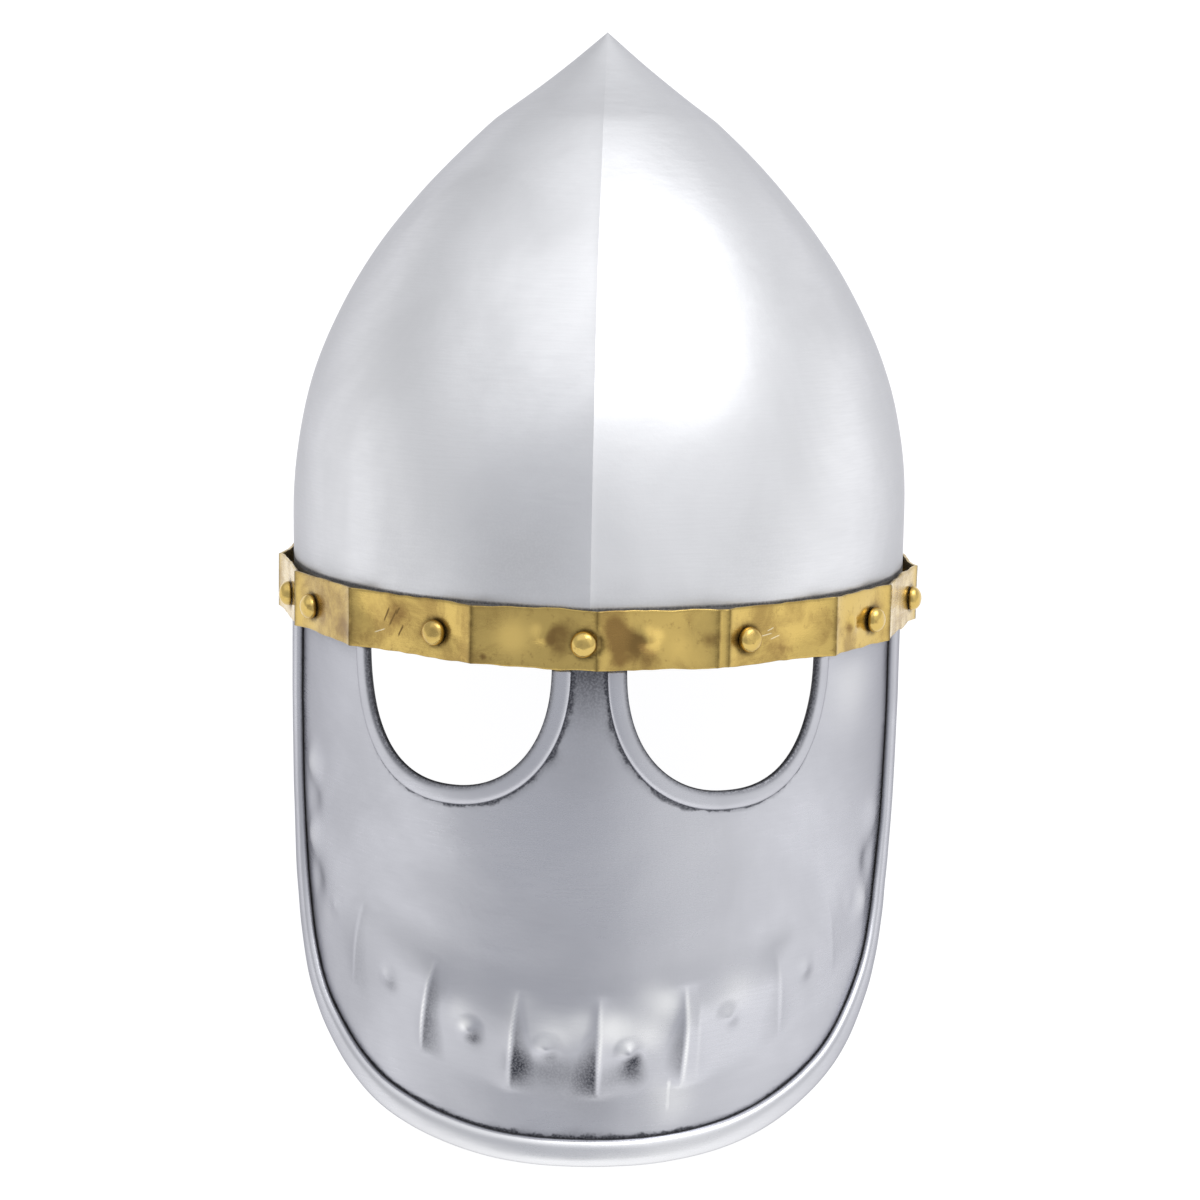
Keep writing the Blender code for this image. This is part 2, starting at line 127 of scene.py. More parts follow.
BAND_STAINS_AND_PAINTED_LIGHT = rows_of(
    StainAndLight,
    (3.8, 0.013, 0.004, 0.8), (5.2, 0.008, 0.0045, 1.0), (4.4, 0.003, 0.0035, 0.7),
    (-3.2, 0.012, 0.0045, 0.6), (-4.6, 0.006, 0.0045, 0.55), (9.8, 0.003, 0.004, 0.6),
    (-8.4, 0.0114, 0.002, -0.8), (-6.3, 0.0088, 0.0017, 0.6), (10.7, 0.0104, 0.0021, -1.0),
    (8.2, 0.009, 0.0016, 0.9), (50.3, 0.009, 0.0016, -0.8), (48.1, 0.0074, 0.0014, 0.6),
    (14.2, 0.006, 0.005, -0.35), (-12.5, 0.009, 0.006, -0.95), (-5.2, 0.011, 0.0034, 0.6),
    (6.6, 0.007, 0.0034, 0.6), (31.5, 0.008, 0.0075, 0.46), (46.0, 0.008, 0.0075, 0.34),
    (-46.0, 0.009, 0.008, 0.2), (36.0, 0.012, 0.006, -0.25), (-17.3, 0.0025, 0.0011, 1.0),
    (-28.4, 0.0075, 0.0026, 0.9), (-37.0, 0.007, 0.012, 0.45), (-34.0, 0.012, 0.004, 0.5),
    (-45.5, 0.006, 0.0045, 0.55), (-60.0, 0.008, 0.0035, 0.7), (-52.0, 0.009, 0.011, 0.55),
    (19.5, 0.009, 0.003, 0.8), (23.6, 0.008, 0.0028, 0.8), (40.0, 0.012, 0.005, 0.45),
    (34.0, 0.0035, 0.0045, 0.4), (57.0, 0.011, 0.004, 0.6),
)

# Scratches, each with its middle and its lean from the level
Scratch = namedtuple("Scratch", "place height length lean")
DARK_SCRATCHES = rows_of(
    Scratch,
    (-36.6, 0.0114, 0.0068, 64.0), (-35.2, 0.0108, 0.0084, 60.0), (-34.2, 0.013, 0.0036, 58.0),
    (-33.6, 0.007, 0.0054, 62.0),
)
# On the mask, a painted highlight line along a small upright dent
MASK_DENT_HIGHLIGHTS = rows_of(Scratch, (0.0262, -0.1345, 0.013, 87.0))
PALE_SCRATCHES = rows_of(
    Scratch,
    (29.8, 0.0088, 0.0065, 8.0), (31.8, 0.0078, 0.0048, 14.0), (30.8, 0.0104, 0.0034, 20.0),
    (-38.0, 0.006, 0.006, 20.0),
)

# Bumps, and dents where the rise is negative
Bump = namedtuple("Bump", "place height reach rise")
BAND_BUMPS = rows_of(
    Bump,
    (-7.6, 0.0102, 0.0028, 0.0006), (9.4, 0.0092, 0.0032, 0.0013), (49.3, 0.0083, 0.0026, 0.0008),
    (-40.0, 0.0105, 0.006, -0.0007), (-22.0, 0.008, 0.005, -0.0006), (5.5, 0.007, 0.006, -0.0008),
    (15.0, 0.012, 0.006, -0.0008), (36.0, 0.006, 0.007, -0.0007),
)
MASK_DENTS = rows_of(
    Bump,
    (0.0275, -0.138, 0.006, 0.0005), (-0.02, -0.098, 0.016, -0.0006), (0.045, -0.08, 0.02, 0.0005),
    (-0.118, -0.046, 0.006, 0.0014), (-0.117, -0.058, 0.006, -0.001),
    (-0.117, -0.07, 0.006, 0.0013), (-0.113, -0.084, 0.006, -0.0009), (0.12, -0.06, 0.006, 0.0011),
    (0.117, -0.074, 0.006, -0.0009), (0.112, -0.088, 0.006, 0.001), (0.001, -0.141, 0.012, -0.0004),
)

# The middle line of the hammered row: its depth in the middle, its radius and its half length
ROW_DEPTH, ROW_RADIUS, ROW_REACH, ROW_HALF_HEIGHT = 0.1185, 0.173, 0.122, 0.0165
RIVET_HEIGHT = 0.008

U = namedtuple("U", "centre half_width depth side_power chin_power")
# A roll's last two columns paint shade on an eye rim's inner wall and a painted highlight low on the
# rolled edge
Roll = namedtuple("Roll", "rim into width rise squareness wall_dirt low_shine")


def length(name, metres, description):
    return FloatProperty(name=name, description=description, default=metres, unit="LENGTH", precision=4)


def colour(name, rgb, description):
    return FloatVectorProperty(name=name, description=description, default=rgb, size=3, subtype="COLOR")


class HelmetSizes(bpy.types.PropertyGroup):
    """Sizes of the helmet."""

    skull_width: length("Skull width", 0.208, "Width of the skull at its rim")
    skull_depth: length("Skull depth", 0.241, "Depth of the skull at its rim, front to back")
    skull_height: length("Skull height", 0.193, "Height of the tip above the rim")
    skull_wall: length("Skull wall", 0.0015, "Thickness of the skull's sheet")
    belly_height: length("Belly height", 0.031, "Height up to which the skull keeps its full width")
    keel_rise: length("Keel rise", 0.0032, "How far the keel stands out")
    keel_reach: length("Keel reach", 0.026, "How far the keel spreads on either side")
    band_height: length("Band height", 0.018, "Height of the brow band")
    band_thickness: length("Band thickness", 0.001, "Thickness of the brow band")
    band_stand_off: length("Band stand-off", 0.0032, "Distance of the band's creases from the skull")
    mask_half_arc: length("Mask half arc", 0.1435, "Half of the mask's width, measured round it")
    mask_depth: length("Mask depth", 0.1565, "How far the mask hangs below the rim")
    plate: length("Plate", 0.0015, "Thickness of the mask's sheet")
    plate_gap: length("Plate gap", 0.0005, "Gap between the skull and the mask's sheet")
    strip_height: length("Strip height", 0.016, "Height of the riveted strip above the rim")
    edge_roll_width: length("Edge roll width", 0.0085, "Width of the mask's rolled edge")
    edge_roll_rise: length("Edge roll rise", 0.0031, "Rise of the mask's rolled edge")
    eye_half_width: length("Eye half width", 0.0333, "Half of an eye opening's width")
    eye_depth: length("Eye depth", 0.0393, "Depth of an eye opening below the rim")
    eye_centre: length("Eye centre", 0.0445, "Distance of an eye opening from the middle")
    eye_roll_width: length("Eye roll width", 0.006, "Width of an eye opening's rolled rim")
    eye_roll_rise: length("Eye roll rise", 0.0016, "Rise of an eye opening's rolled rim")
    row_rise: length("Row rise", 0.0012, "Swelling of the hammered row")
    ridge_rise: length("Ridge rise", 0.0021, "Rise of the ridges that cross the row")
    knob_rise: length("Knob rise", 0.0015, "Rise of the small knobs between the ridges")
    rivet_radius: length("Rivet radius", 0.0040, "Radius of a rivet's head")
    rivet_rise: length("Rivet rise", 0.0035, "Height of a rivet's head")


class HelmetFinish(bpy.types.PropertyGroup):
    """Colours of the helmet."""

    steel: colour("Skull steel", (0.80, 0.805, 0.825), "Polished steel of the skull")
    mask_steel: colour("Mask steel", (0.58, 0.585, 0.625), "Polished steel of the mask")
    # Also the colour of the steel's painted shade along the band, in the seams, on the eye rims' inner
    # walls and in the hammered row
    soot_and_shade: colour("Grime", (0.055, 0.057, 0.07), "Polish and dirt left in seams and hollows")
    inner: colour("Inner steel", (0.17, 0.165, 0.16), "Dull scale on the steel's inner side")
    brass: colour("Brass", (0.64, 0.46, 0.145), "Polished brass")
    patina: colour("Patina", (0.27, 0.165, 0.055), "Brown patina on the brass")
    floor: colour("Floor", (0.12, 0.12, 0.121), "Pale floor, which also glows")


# Shapes that several pieces share


def bell(apart, reach):
    """1 in the middle of a soft round spot, falling to 0 outside its reach."""
    return exp(-((apart / reach) ** 2))


def lengths_along(points):
    """The length of a line up to each of its points."""
    lengths = [0.0]
    for first, second in zip(points, points[1:]):
        lengths.append(lengths[-1] + dist(first, second))
    return lengths


def step_at(lengths, target):
    """The point that a length comes to next, and the share of the way to it from the one before."""
    i = min(max(bisect_left(lengths, target), 1), len(lengths) - 1)
    return i, (target - lengths[i - 1]) / (lengths[i] - lengths[i - 1])


def along(points, shares):
    """Points at the given shares of the length of a line."""
    lengths = lengths_along(points)
    found = []
    for share in shares:
        i, part = step_at(lengths, share * lengths[-1])
        found.append(tuple(a + part * (b - a) for a, b in zip(points[i - 1], points[i])))
    return found


def oval(s, angle, offset=0.0, half_width=None):
    """The point of the skull's oval at an angle, moved outwards by an offset."""
    half_width = half_width or s.skull_width / 2
    half_depth = half_width * s.skull_depth / s.skull_width
    turn = radians(angle)
    return (half_width + offset) * sin(turn), -(half_depth + offset) * cos(turn)


def oval_angle(s, x, y):
    """The angle at which a point lies on the skull's oval."""
    return degrees(atan2(x / s.skull_width, -y / s.skull_depth))


def keel_rise(s, across, half_width):
    """How far the keel stands out at a distance from the middle, less where the skull is thin."""
    fade_width, sharpness, crest_rise, crest_reach = 0.040, 1.5, 0.00022, 0.0011
    near = max(0.0, 1.0 - abs(across) / s.keel_reach)
    crest = crest_rise * exp(-abs(across) / crest_reach)
    return (s.keel_rise * near**sharpness + crest) * min(1.0, half_width / fade_width)


def skull_half_width(s, height):
    """The skull's side seen from the front: straight at the rim, arched, and hollow at the tip."""
    power, hollow, hollow_start = 2.24, 0.0022, 0.85
    above = max(0.0, (height - s.belly_height) / (s.skull_height - s.belly_height))
    in_tip = max(0.0, (height / s.skull_height - hollow_start) / (1.0 - hollow_start))
    return s.skull_width / 2 * (1.0 - above**power) - hollow * sin(pi * min(1.0, in_tip))


def crease_corner(s, angle):
    """A crease of the band in plan, far enough out for the panels to clear skull and keel."""
    keel_clearance = 0.0012
    half_width = s.skull_width / 2
    across = oval(s, angle)[0]
    stand_off = max(s.band_stand_off, keel_rise(s, across, half_width) + keel_clearance)
    return oval(s, angle, stand_off)


def wave(x, y, z, size, rise):
    """Soft unevenness of hand-worked sheet: the size of its waves and their rise."""
    return rise * noise.noise(Vector((x, y, z)) / size)


def stains_and_painted_light_at(stains_and_painted_light, across, height):
    """How dark a place is from the stains and painted shade near it, or, where negative, how bright
    from painted highlights.
    """
    depth = 0.0
    for stain_and_painted_light in stains_and_painted_light:
        apart = hypot(across - stain_and_painted_light.place, height - stain_and_painted_light.height) / stain_and_painted_light.reach
        if apart < 3.0:
            depth += stain_and_painted_light.depth * exp(-(apart**2))
    return min(1.0, depth)


def round_rim(s, stains_and_painted_light):
    """Stains and painted light with their angles turned into distances from the middle of the face."""
    return [stain_and_painted_light._replace(place=radians(stain_and_painted_light.place) * s.skull_width / 2) for stain_and_painted_light in stains_and_painted_light]


def lathed(bm, profile, steps):
    """Turns a half section once round the upright axis."""
    verts = [bm.verts.new((radius, 0.0, height)) for radius, height in profile]
    edges = [bm.edges.new(pair) for pair in zip(verts, verts[1:])]
    bmesh.ops.spin(bm, geom=verts + edges, cent=(0, 0, 0), axis=(0, 0, 1), angle=2 * pi,
                   steps=steps, use_merge=True, use_duplicate=False)
    bmesh.ops.remove_doubles(bm, verts=bm.verts, dist=1e-6)


def tagged(bm):
    """Layers for the place before the piece is laid back and for the dirt and painted shade in hollows
    and gaps, with painted highlights where it is negative.
    """
    return bm.verts.layers.float_vector.new("flat"), bm.verts.layers.float.new("grime_and_painted_light")


def placed(name, data):
    """A new object in the scene, for a mesh, a light or a camera."""
    thing = bpy.data.objects.new(name, data)
    bpy.context.scene.collection.objects.link(thing)
    return thing


def meshed(bm, name, material):
    """The object that a mesh's plan makes."""
    mesh = bpy.data.meshes.new(name)
    bm.to_mesh(mesh)
    bm.free()
    mesh.materials.append(material)
    return placed(name, mesh)


def finished(bm, name, node, material, sharp=35.0):
    """Lays an upright piece back as the frame rests, and lets it stand for its node."""
    bm.transform(REST)
    piece = meshed(bm, name, material)
    piece.data.shade_smooth()
    piece.data.set_sharp_from_angle(angle=radians(sharp))
    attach(piece, "root")
    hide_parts(node)
    return piece


def thickened(piece, thickness, offset):
    """Gives a sheet its thickness: inwards at offset -1, to both sides at 0 and outwards at 1."""
    wall = piece.modifiers.new("Sheet", "SOLIDIFY")
    wall.thickness = thickness
    wall.offset = offset
    wall.use_even_offset = True


def softened(piece, width, angle):
    """Rounds the edges that are sharper than an angle."""
    edge = piece.modifiers.new("Edges", "BEVEL")
    edge.width = width
    edge.segments = 2
    edge.limit_method = "ANGLE"
    edge.angle_limit = radians(angle)


# Materials


def put(tree, kind, inputs=None, **settings):
    """A node with its settings, and values or links for its inputs."""
    node = tree.nodes.new(kind)
    for name, value in settings.items():
        setattr(node, name, value)
    for socket, value in (inputs or {}).items():
        if isinstance(value, bpy.types.NodeSocket):
            tree.links.new(value, node.inputs[socket])
        else:
            node.inputs[socket].default_value = value
    return node


def math(tree, operation, a, b=0.0, clamp=False):
    return put(tree, "ShaderNodeMath", {0: a, 1: b}, operation=operation, use_clamp=clamp).outputs[0]


def times(tree, a, b):
    return math(tree, "MULTIPLY", a, b)


def vector_math(tree, operation, a, b, output=0):
    node = put(tree, "ShaderNodeVectorMath", {0: a, 1: b}, operation=operation)
    return node.outputs[output]


def fit(tree, value, low, high, to_low=0.0, to_high=1.0):
    """A value moved from one range to another, smooth and clamped."""
    inputs = {"Value": value, "From Min": low, "From Max": high, "To Min": to_low, "To Max": to_high}
    return put(tree, "ShaderNodeMapRange", inputs, interpolation_type="SMOOTHSTEP").outputs[0]


def mix(tree, share, first, second):
    inputs = {0: share, 6: first, 7: second}
    return put(tree, "ShaderNodeMix", inputs, data_type="RGBA").outputs[2]


def parts(tree, vector):
    return put(tree, "ShaderNodeSeparateXYZ", {0: vector}).outputs


def stretched(tree, vector, scale, turn=0.0):
    inputs = {"Vector": vector, "Scale": scale, "Rotation": (0.0, radians(turn), 0.0)}
    return put(tree, "ShaderNodeMapping", inputs).outputs[0]


def cloud(tree, vector, scale, detail=3.0, roughness=0.5, distortion=0.0):
    inputs = {"Vector": vector, "Scale": scale, "Detail": detail, "Roughness": roughness}
    inputs["Distortion"] = distortion
    return put(tree, "ShaderNodeTexNoise", inputs).outputs["Fac"]


def attribute(tree, name, output):
    return put(tree, "ShaderNodeAttribute", attribute_name=name).outputs[output]


def rgba(rgb):
    return (*rgb, 1.0)


def outer_side(tree):
    """1 on the side of a sheet that faces away from the helmet's axis, and 0 on its inner side."""
    place = put(tree, "ShaderNodeTexCoord").outputs["Object"]
    arm = vector_math(tree, "SUBTRACT", place, tuple(CENTRE))
    height = vector_math(tree, "DOT_PRODUCT", arm, tuple(UPRIGHT), 1)
    rise = put(tree, "ShaderNodeVectorMath", {0: tuple(UPRIGHT), "Scale": height}, operation="SCALE")
    level = vector_math(tree, "SUBTRACT", arm, rise.outputs[0])
    radial = put(tree, "ShaderNodeVectorMath", {0: level}, operation="NORMALIZE").outputs[0]
    normal = put(tree, "ShaderNodeNewGeometry").outputs["Normal"]
    return fit(tree, vector_math(tree, "DOT_PRODUCT", normal, radial, 1), -0.35, -0.15)


def new_material(name):
    material = bpy.data.materials.new(name)
    material.use_nodes = True
    tree = material.node_tree
    return material, tree, tree.nodes["Principled BSDF"]


def hem_line(tree, flat):
    """1 on a ragged line of dirt and painted shade along the seams of the rolled edges, which is widest
    beside the nose.
    """
    across = math(tree, "ABSOLUTE", parts(tree, flat)[0])
    ragged = fit(tree, cloud(tree, flat, 150.0, 5.0, 0.60), 0.35, 0.65, 0.0004, 0.0024)
    reach = times(tree, ragged, fit(tree, across, 0.060, 0.022, 0.55, 1.0))
    share = math(tree, "DIVIDE", attribute(tree, "beyond", "Fac"), reach)
    return fit(tree, share, 0.35, 1.0, 0.92, 0.0)


def steel_material(name, rgb, finish, gloss, seam=0.0, painted_highlight_lines=()):
    """Polished sheet steel: soft clouds, fine lines of polishing, dirt and painted shade in seams and
    hollows, painted highlights where the dirt layer is negative, dull inside.

    The seam is the height of an edge that lies on the sheet, with a thin line of painted shade above
    it.
    Without one, the sheet has rolled edges with a line of dirt and painted shade along them.
    """
    seam_width, scratch_width = 0.0012, 0.0008
    material, tree, shader = new_material(name)
    place = put(tree, "ShaderNodeTexCoord").outputs["Object"]
    flat = attribute(tree, "flat", "Vector")
    grime_and_painted_light = attribute(tree, "grime_and_painted_light", "Fac")
    if seam:
        # A thin line of painted shade in the gap just above the band's top edge
        above = math(tree, "ABSOLUTE", math(tree, "SUBTRACT", parts(tree, flat)[2], seam))
        grime_and_painted_light = math(tree, "MAXIMUM", grime_and_painted_light, fit(tree, above, 0.0, seam_width, 0.85, 0.0))
    else:
        # Dirt and painted shade along the seams of the rolled edges
        line = hem_line(tree, flat)
        clear = math(tree, "SUBTRACT", 1.0, line)
        grime_and_painted_light = math(tree, "ADD", times(tree, grime_and_painted_light, clear), line)
    outside = outer_side(tree)

    clouds = cloud(tree, place, 16.0, 4.0, 0.55, 0.6)
    mottle = cloud(tree, place, 70.0, 5.0, 0.65)
    grain = cloud(tree, stretched(tree, flat, (90.0, 90.0, 1500.0), 4.0), 1.0, 4.0, 0.7)
    speckle = cloud(tree, place, 1500.0, 2.0, 0.6)

    dull = tuple(0.87 * part for part in rgb)
    # A brighter copy of the steel for painted highlights and painted highlight lines
    painted_highlight_tone = tuple(min(0.93, 1.6 * part) for part in rgb)
    tone = mix(tree, fit(tree, clouds, 0.35, 0.68), rgba(dull), rgba(rgb))
    streaks = mix(tree, fit(tree, grain, 0.30, 0.70, 0.0, 0.30), tone, rgba(dull))
    # Dirt and painted shade darken towards the soot colour; negative values paint highlights
    broken = math(tree, "MULTIPLY", grime_and_painted_light, fit(tree, speckle, 0.30, 0.65, 0.72, 1.0), True)
    painted_highlight = mix(tree, fit(tree, grime_and_painted_light, 0.0, -1.0), streaks, rgba(painted_highlight_tone))
    dirt_shade_and_highlight = mix(tree, broken, painted_highlight, rgba(finish.soot_and_shade))
    # Painted highlight lines
    for scratch in painted_highlight_lines:
        middle = (scratch.place, 0.0, scratch.height)
        mark = scratch_mark(tree, flat, middle, 0.0, scratch, scratch_width)
        dirt_shade_and_highlight = mix(tree, times(tree, mark, 0.6), dirt_shade_and_highlight, rgba(painted_highlight_tone))
    scale = fit(tree, mottle, 0.30, 0.70)
    bare = tuple(1.9 * part for part in finish.inner)
    inner = mix(tree, scale, rgba(finish.inner), rgba(bare))
    tree.links.new(mix(tree, outside, inner, dirt_shade_and_highlight), shader.inputs["Base Color"])

    rough = fit(tree, clouds, 0.30, 0.70, gloss + 0.07, gloss - 0.04)
    fine = math(tree, "ADD", rough, fit(tree, grain, 0.3, 0.7, -0.03, 0.05))
    worn = math(tree, "ADD", fine, times(tree, broken, 0.25), True)
    inner_rough = fit(tree, scale, 0.0, 1.0, 0.62, 0.48)
    both = put(tree, "ShaderNodeMix", {0: outside, 2: inner_rough, 3: worn}).outputs[0]
    tree.links.new(both, shader.inputs["Roughness"])

    lines = put(tree, "ShaderNodeBump", {"Height": grain, "Strength": 0.03, "Distance": 0.0003})
    dents = {"Height": mottle, "Strength": 0.10, "Distance": 0.0012, "Normal": lines.outputs[0]}
    tree.links.new(put(tree, "ShaderNodeBump", dents).outputs[0], shader.inputs["Normal"])
    shader.inputs["Metallic"].default_value = 1.0
    shader.inputs["Specular Tint"].default_value = (0.50, 0.50, 0.52, 1.0)
    return material


def scratch_mark(tree, flat, middle, turn, scratch, width):
    """1 on a short straight scratch with its middle and its plate's turn given, and 0 round it."""
    near, taper = 0.012, 0.9
    inputs = {"Vector": flat, "Location": middle, "Rotation": (0.0, -radians(scratch.lean), turn)}
    local = put(tree, "ShaderNodeMapping", inputs, vector_type="TEXTURE").outputs[0]
    wavy = put(tree, "ShaderNodeTexNoise", {"Vector": flat, "Scale": 900.0}).outputs["Color"]
    moved = vector_math(tree, "ADD", local, vector_math(tree, "MULTIPLY", wavy, (0.0, 0.0, width)))
    apart = parts(tree, vector_math(tree, "ABSOLUTE", moved, (0.0, 0.0, 0.0)))
    long = fit(tree, apart[0], taper * scratch.length / 2, scratch.length / 4)
    thin = fit(tree, apart[2], width, width / 4)
    here = fit(tree, apart[1], near, near / 2)
    return times(tree, times(tree, long, thin), here)


def band_mark(tree, s, flat, scratch, width):
    """A scratch on the band, at its angle round the face."""
    x, y = oval(s, scratch.place, s.band_stand_off)
    turn = atan2(x / s.skull_width**2, -y / s.skull_depth**2)
    return scratch_mark(tree, flat, (x, y, scratch.height), turn, scratch, width)


def brass_material(name, s, finish, gloss, worn, dark_marks=(), pale_marks=()):
    """Hand-rubbed brass: brown patina in patches and stains, dark dirt and painted shade, painted
    highlights, and scratches.
    """
    dark_width, pale_width, bare_brass = 0.00045, 0.00024, (0.93, 0.86, 0.66)
    material, tree, shader = new_material(name)
    place = put(tree, "ShaderNodeTexCoord").outputs["Object"]
    flat = attribute(tree, "flat", "Vector")
    grime_and_painted_light = attribute(tree, "grime_and_painted_light", "Fac")
    stain_and_painted_light = attribute(tree, "stain_and_painted_light", "Fac")
    patches = cloud(tree, place, 52.0, 5.0, 0.60, 0.9)
    spots = cloud(tree, place, 420.0, 4.0, 0.7)
    brushed = cloud(tree, stretched(tree, flat, (140.0, 140.0, 2200.0), 3.0), 1.0, 3.0, 0.7)
    crossed = cloud(tree, stretched(tree, flat, (1500.0, 1500.0, 70.0), 24.0), 1.0, 2.0, 0.6)
    where = cloud(tree, place, 60.0, 2.0)

    ragged = cloud(tree, place, 260.0, 4.0, 0.6, 0.5)
    blotched = math(tree, "ADD", stain_and_painted_light, fit(tree, patches, 0.30, 0.70, -0.25, 0.25))
    uneven = math(tree, "ADD", blotched, fit(tree, ragged, 0.30, 0.70, -0.10, 0.10))
    browned = fit(tree, times(tree, uneven, fit(tree, stain_and_painted_light, 0.0, 0.20)), 0.0, 1.0)
    aged = math(tree, "MAXIMUM", fit(tree, patches, 0.46, 0.68, 0.0, worn), browned)
    tone = mix(tree, aged, rgba(finish.brass), rgba(finish.patina))
    spotted = mix(tree, fit(tree, spots, 0.56, 0.72, 0.0, 0.45), tone, rgba(finish.patina))
    # Painted highlights where the stain layer is negative
    painted_highlight_brass = tuple(min(1.0, 1.42 * part) for part in finish.brass)
    stains_and_painted_light_at = mix(tree, fit(tree, stain_and_painted_light, 0.0, -1.0), spotted, rgba(painted_highlight_brass))
    cut = times(tree, fit(tree, crossed, 0.66, 0.72), fit(tree, where, 0.50, 0.62))
    pale = tuple(min(1.0, 1.12 * part) for part in finish.brass)
    scratched = mix(tree, times(tree, cut, 0.6), stains_and_painted_light_at, rgba(pale))
    dark_dirt_and_shade = tuple(0.22 * part for part in finish.patina)
    brown = tuple(0.60 * part for part in finish.patina)
    for scratch in dark_marks:
        scratched = mix(tree, band_mark(tree, s, flat, scratch, dark_width), scratched, rgba(brown))
    for scratch in pale_marks:
        mark = times(tree, band_mark(tree, s, flat, scratch, pale_width), 0.55)
        scratched = mix(tree, mark, scratched, rgba(bare_brass))
    # Dirt and painted shade round the rivet heads and at their feet, and dirt in the folds and along
    # the edges
    broken = math(tree, "MULTIPLY", grime_and_painted_light, fit(tree, spots, 0.25, 0.60, 0.6, 1.0), True)
    tree.links.new(mix(tree, broken, scratched, rgba(dark_dirt_and_shade)), shader.inputs["Base Color"])

    rough = math(tree, "ADD", fit(tree, patches, 0.35, 0.70, gloss, gloss + 0.14),
                 fit(tree, brushed, 0.3, 0.7, -0.04, 0.08))
    dusty = math(tree, "ADD", rough, times(tree, broken, 0.3), True)
    tree.links.new(dusty, shader.inputs["Roughness"])
    height = math(tree, "SUBTRACT", times(tree, brushed, 0.4), cut)
    lines = put(tree, "ShaderNodeBump", {"Height": height, "Strength": 0.14, "Distance": 0.0003})
    pits = {"Height": spots, "Strength": 0.10, "Distance": 0.0006, "Normal": lines.outputs[0]}
    tree.links.new(put(tree, "ShaderNodeBump", pits).outputs[0], shader.inputs["Normal"])
    shader.inputs["Metallic"].default_value = 1.0
    return material


def floor_material(finish):
    """A pale studio table, lit softly from below."""
    glow = 8.1
    material, tree, shader = new_material("pale_floor")
    place = put(tree, "ShaderNodeTexCoord").outputs["Object"]
    shade = fit(tree, cloud(tree, place, 3.0), 0.3, 0.7, 0.0, 0.25)
    duller = tuple(0.97 * part for part in finish.floor)
    tree.links.new(mix(tree, shade, rgba(finish.floor), rgba(duller)), shader.inputs["Base Color"])
    shader.inputs["Roughness"].default_value = 0.7
    shader.inputs["Emission Color"].default_value = rgba(finish.floor)
    shader.inputs["Emission Strength"].default_value = glow
    return material


# Skull


def build_skull(s, finish):
    """A turned profile drawn out to the oval, with its keels, and thickened inwards."""
    rows, columns, steps, rim = 110, 320, 600, 0.0008
    crowding, keel_crowding, smooth_tip = 1.25, 0.86, 0.02
    band_edge_shade, rim_reach = 0.22, 0.0045
    heights = [s.skull_height - i * (s.skull_height - rim) / steps for i in range(steps + 1)]
    outline = [(max(0.0, skull_half_width(s, h)), h) for h in heights]
    outline[0] = (0.0, s.skull_height)
    profile = along(outline, [(i / rows) ** crowding for i in range(rows + 1)])

    bm = bmesh.new()
    flat, grime_and_painted_light = tagged(bm)
    stains_and_painted_light = round_rim(s, SKULL_STAINS_AND_PAINTED_LIGHT)
    lathed(bm, profile, columns)
    for vertex in bm.verts:
        x, y, z = vertex.co
        radius = hypot(x, y)
        if radius < 1e-6:
            continue
        turn = atan2(x, -y)
        angle = degrees(turn - keel_crowding / 2 * sin(2 * turn))
        px, py = oval(s, angle, 0.0, radius)
        py += copysign(keel_rise(s, px, radius), py)
        worked = wave(px, py, z, 0.030, 0.00030) + wave(px, py, z + 1.0, 0.012, 0.00008)
        outward = Vector((px, py, 0.0)).normalized() * worked * min(1.0, radius / smooth_tip)
        vertex.co = Vector((px, py, z)) + outward
        vertex[flat] = (px, py, z)
        # Painted shade just above the band, with the stains' painted shade and painted highlights
        above_band = max(0.0, z - s.band_height)
        smudge_and_painted_light = stains_and_painted_light_at(stains_and_painted_light, radians(angle) * s.skull_width / 2, z)
        vertex[grime_and_painted_light] = max(band_edge_shade * exp(-above_band / rim_reach), smudge_and_painted_light)
    bmesh.ops.recalc_face_normals(bm, faces=bm.faces)
    steel = steel_material("skull_polished_steel", tuple(finish.steel), finish, 0.35, s.band_height)
    skull = finished(bm, "keeled_skull", "skull", steel)
    thickened(skull, s.skull_wall, -1.0)


# Brow band


def band_ring(s):
    """The band in plan as (x, y, distance from the nearest crease), close-set at the creases."""
    pitch, tight = 0.0008, 0.0004
    corners = [crease_corner(s, angle) for angle in CREASES]
    ring = []
    for first, second in zip(corners, corners[1:] + corners[:1]):
        span = dist(first, second)
        count = max(2, round(span / pitch))
        marks = [0.0, tight] + [span * i / count for i in range(1, count)] + [span - tight]
        for mark in marks:
            part = mark / span
            x, y = (a + part * (b - a) for a, b in zip(first, second))
            ring.append((x, y, min(mark, span - mark)))
    return ring


def band_dents(s, angle, height):
    """The rise of the band's bumps and dents at a place."""
    rise = 0.0
    for bump in BAND_BUMPS:
        across = radians(angle - bump.place) * s.skull_width / 2
        apart = hypot(across, height - bump.height) / bump.reach
        rise += bump.rise * exp(-(apart**2))
    return rise


def rivet_distance(s, angle, height):
    """How far a point of the band is from the nearest rivet's middle."""
    near = min(abs((angle - rivet + 180.0) % 360.0 - 180.0) for rivet in MASK_RIVETS + SKULL_RIVETS)
    return hypot(radians(near) * s.skull_width / 2, height - RIVET_HEIGHT)


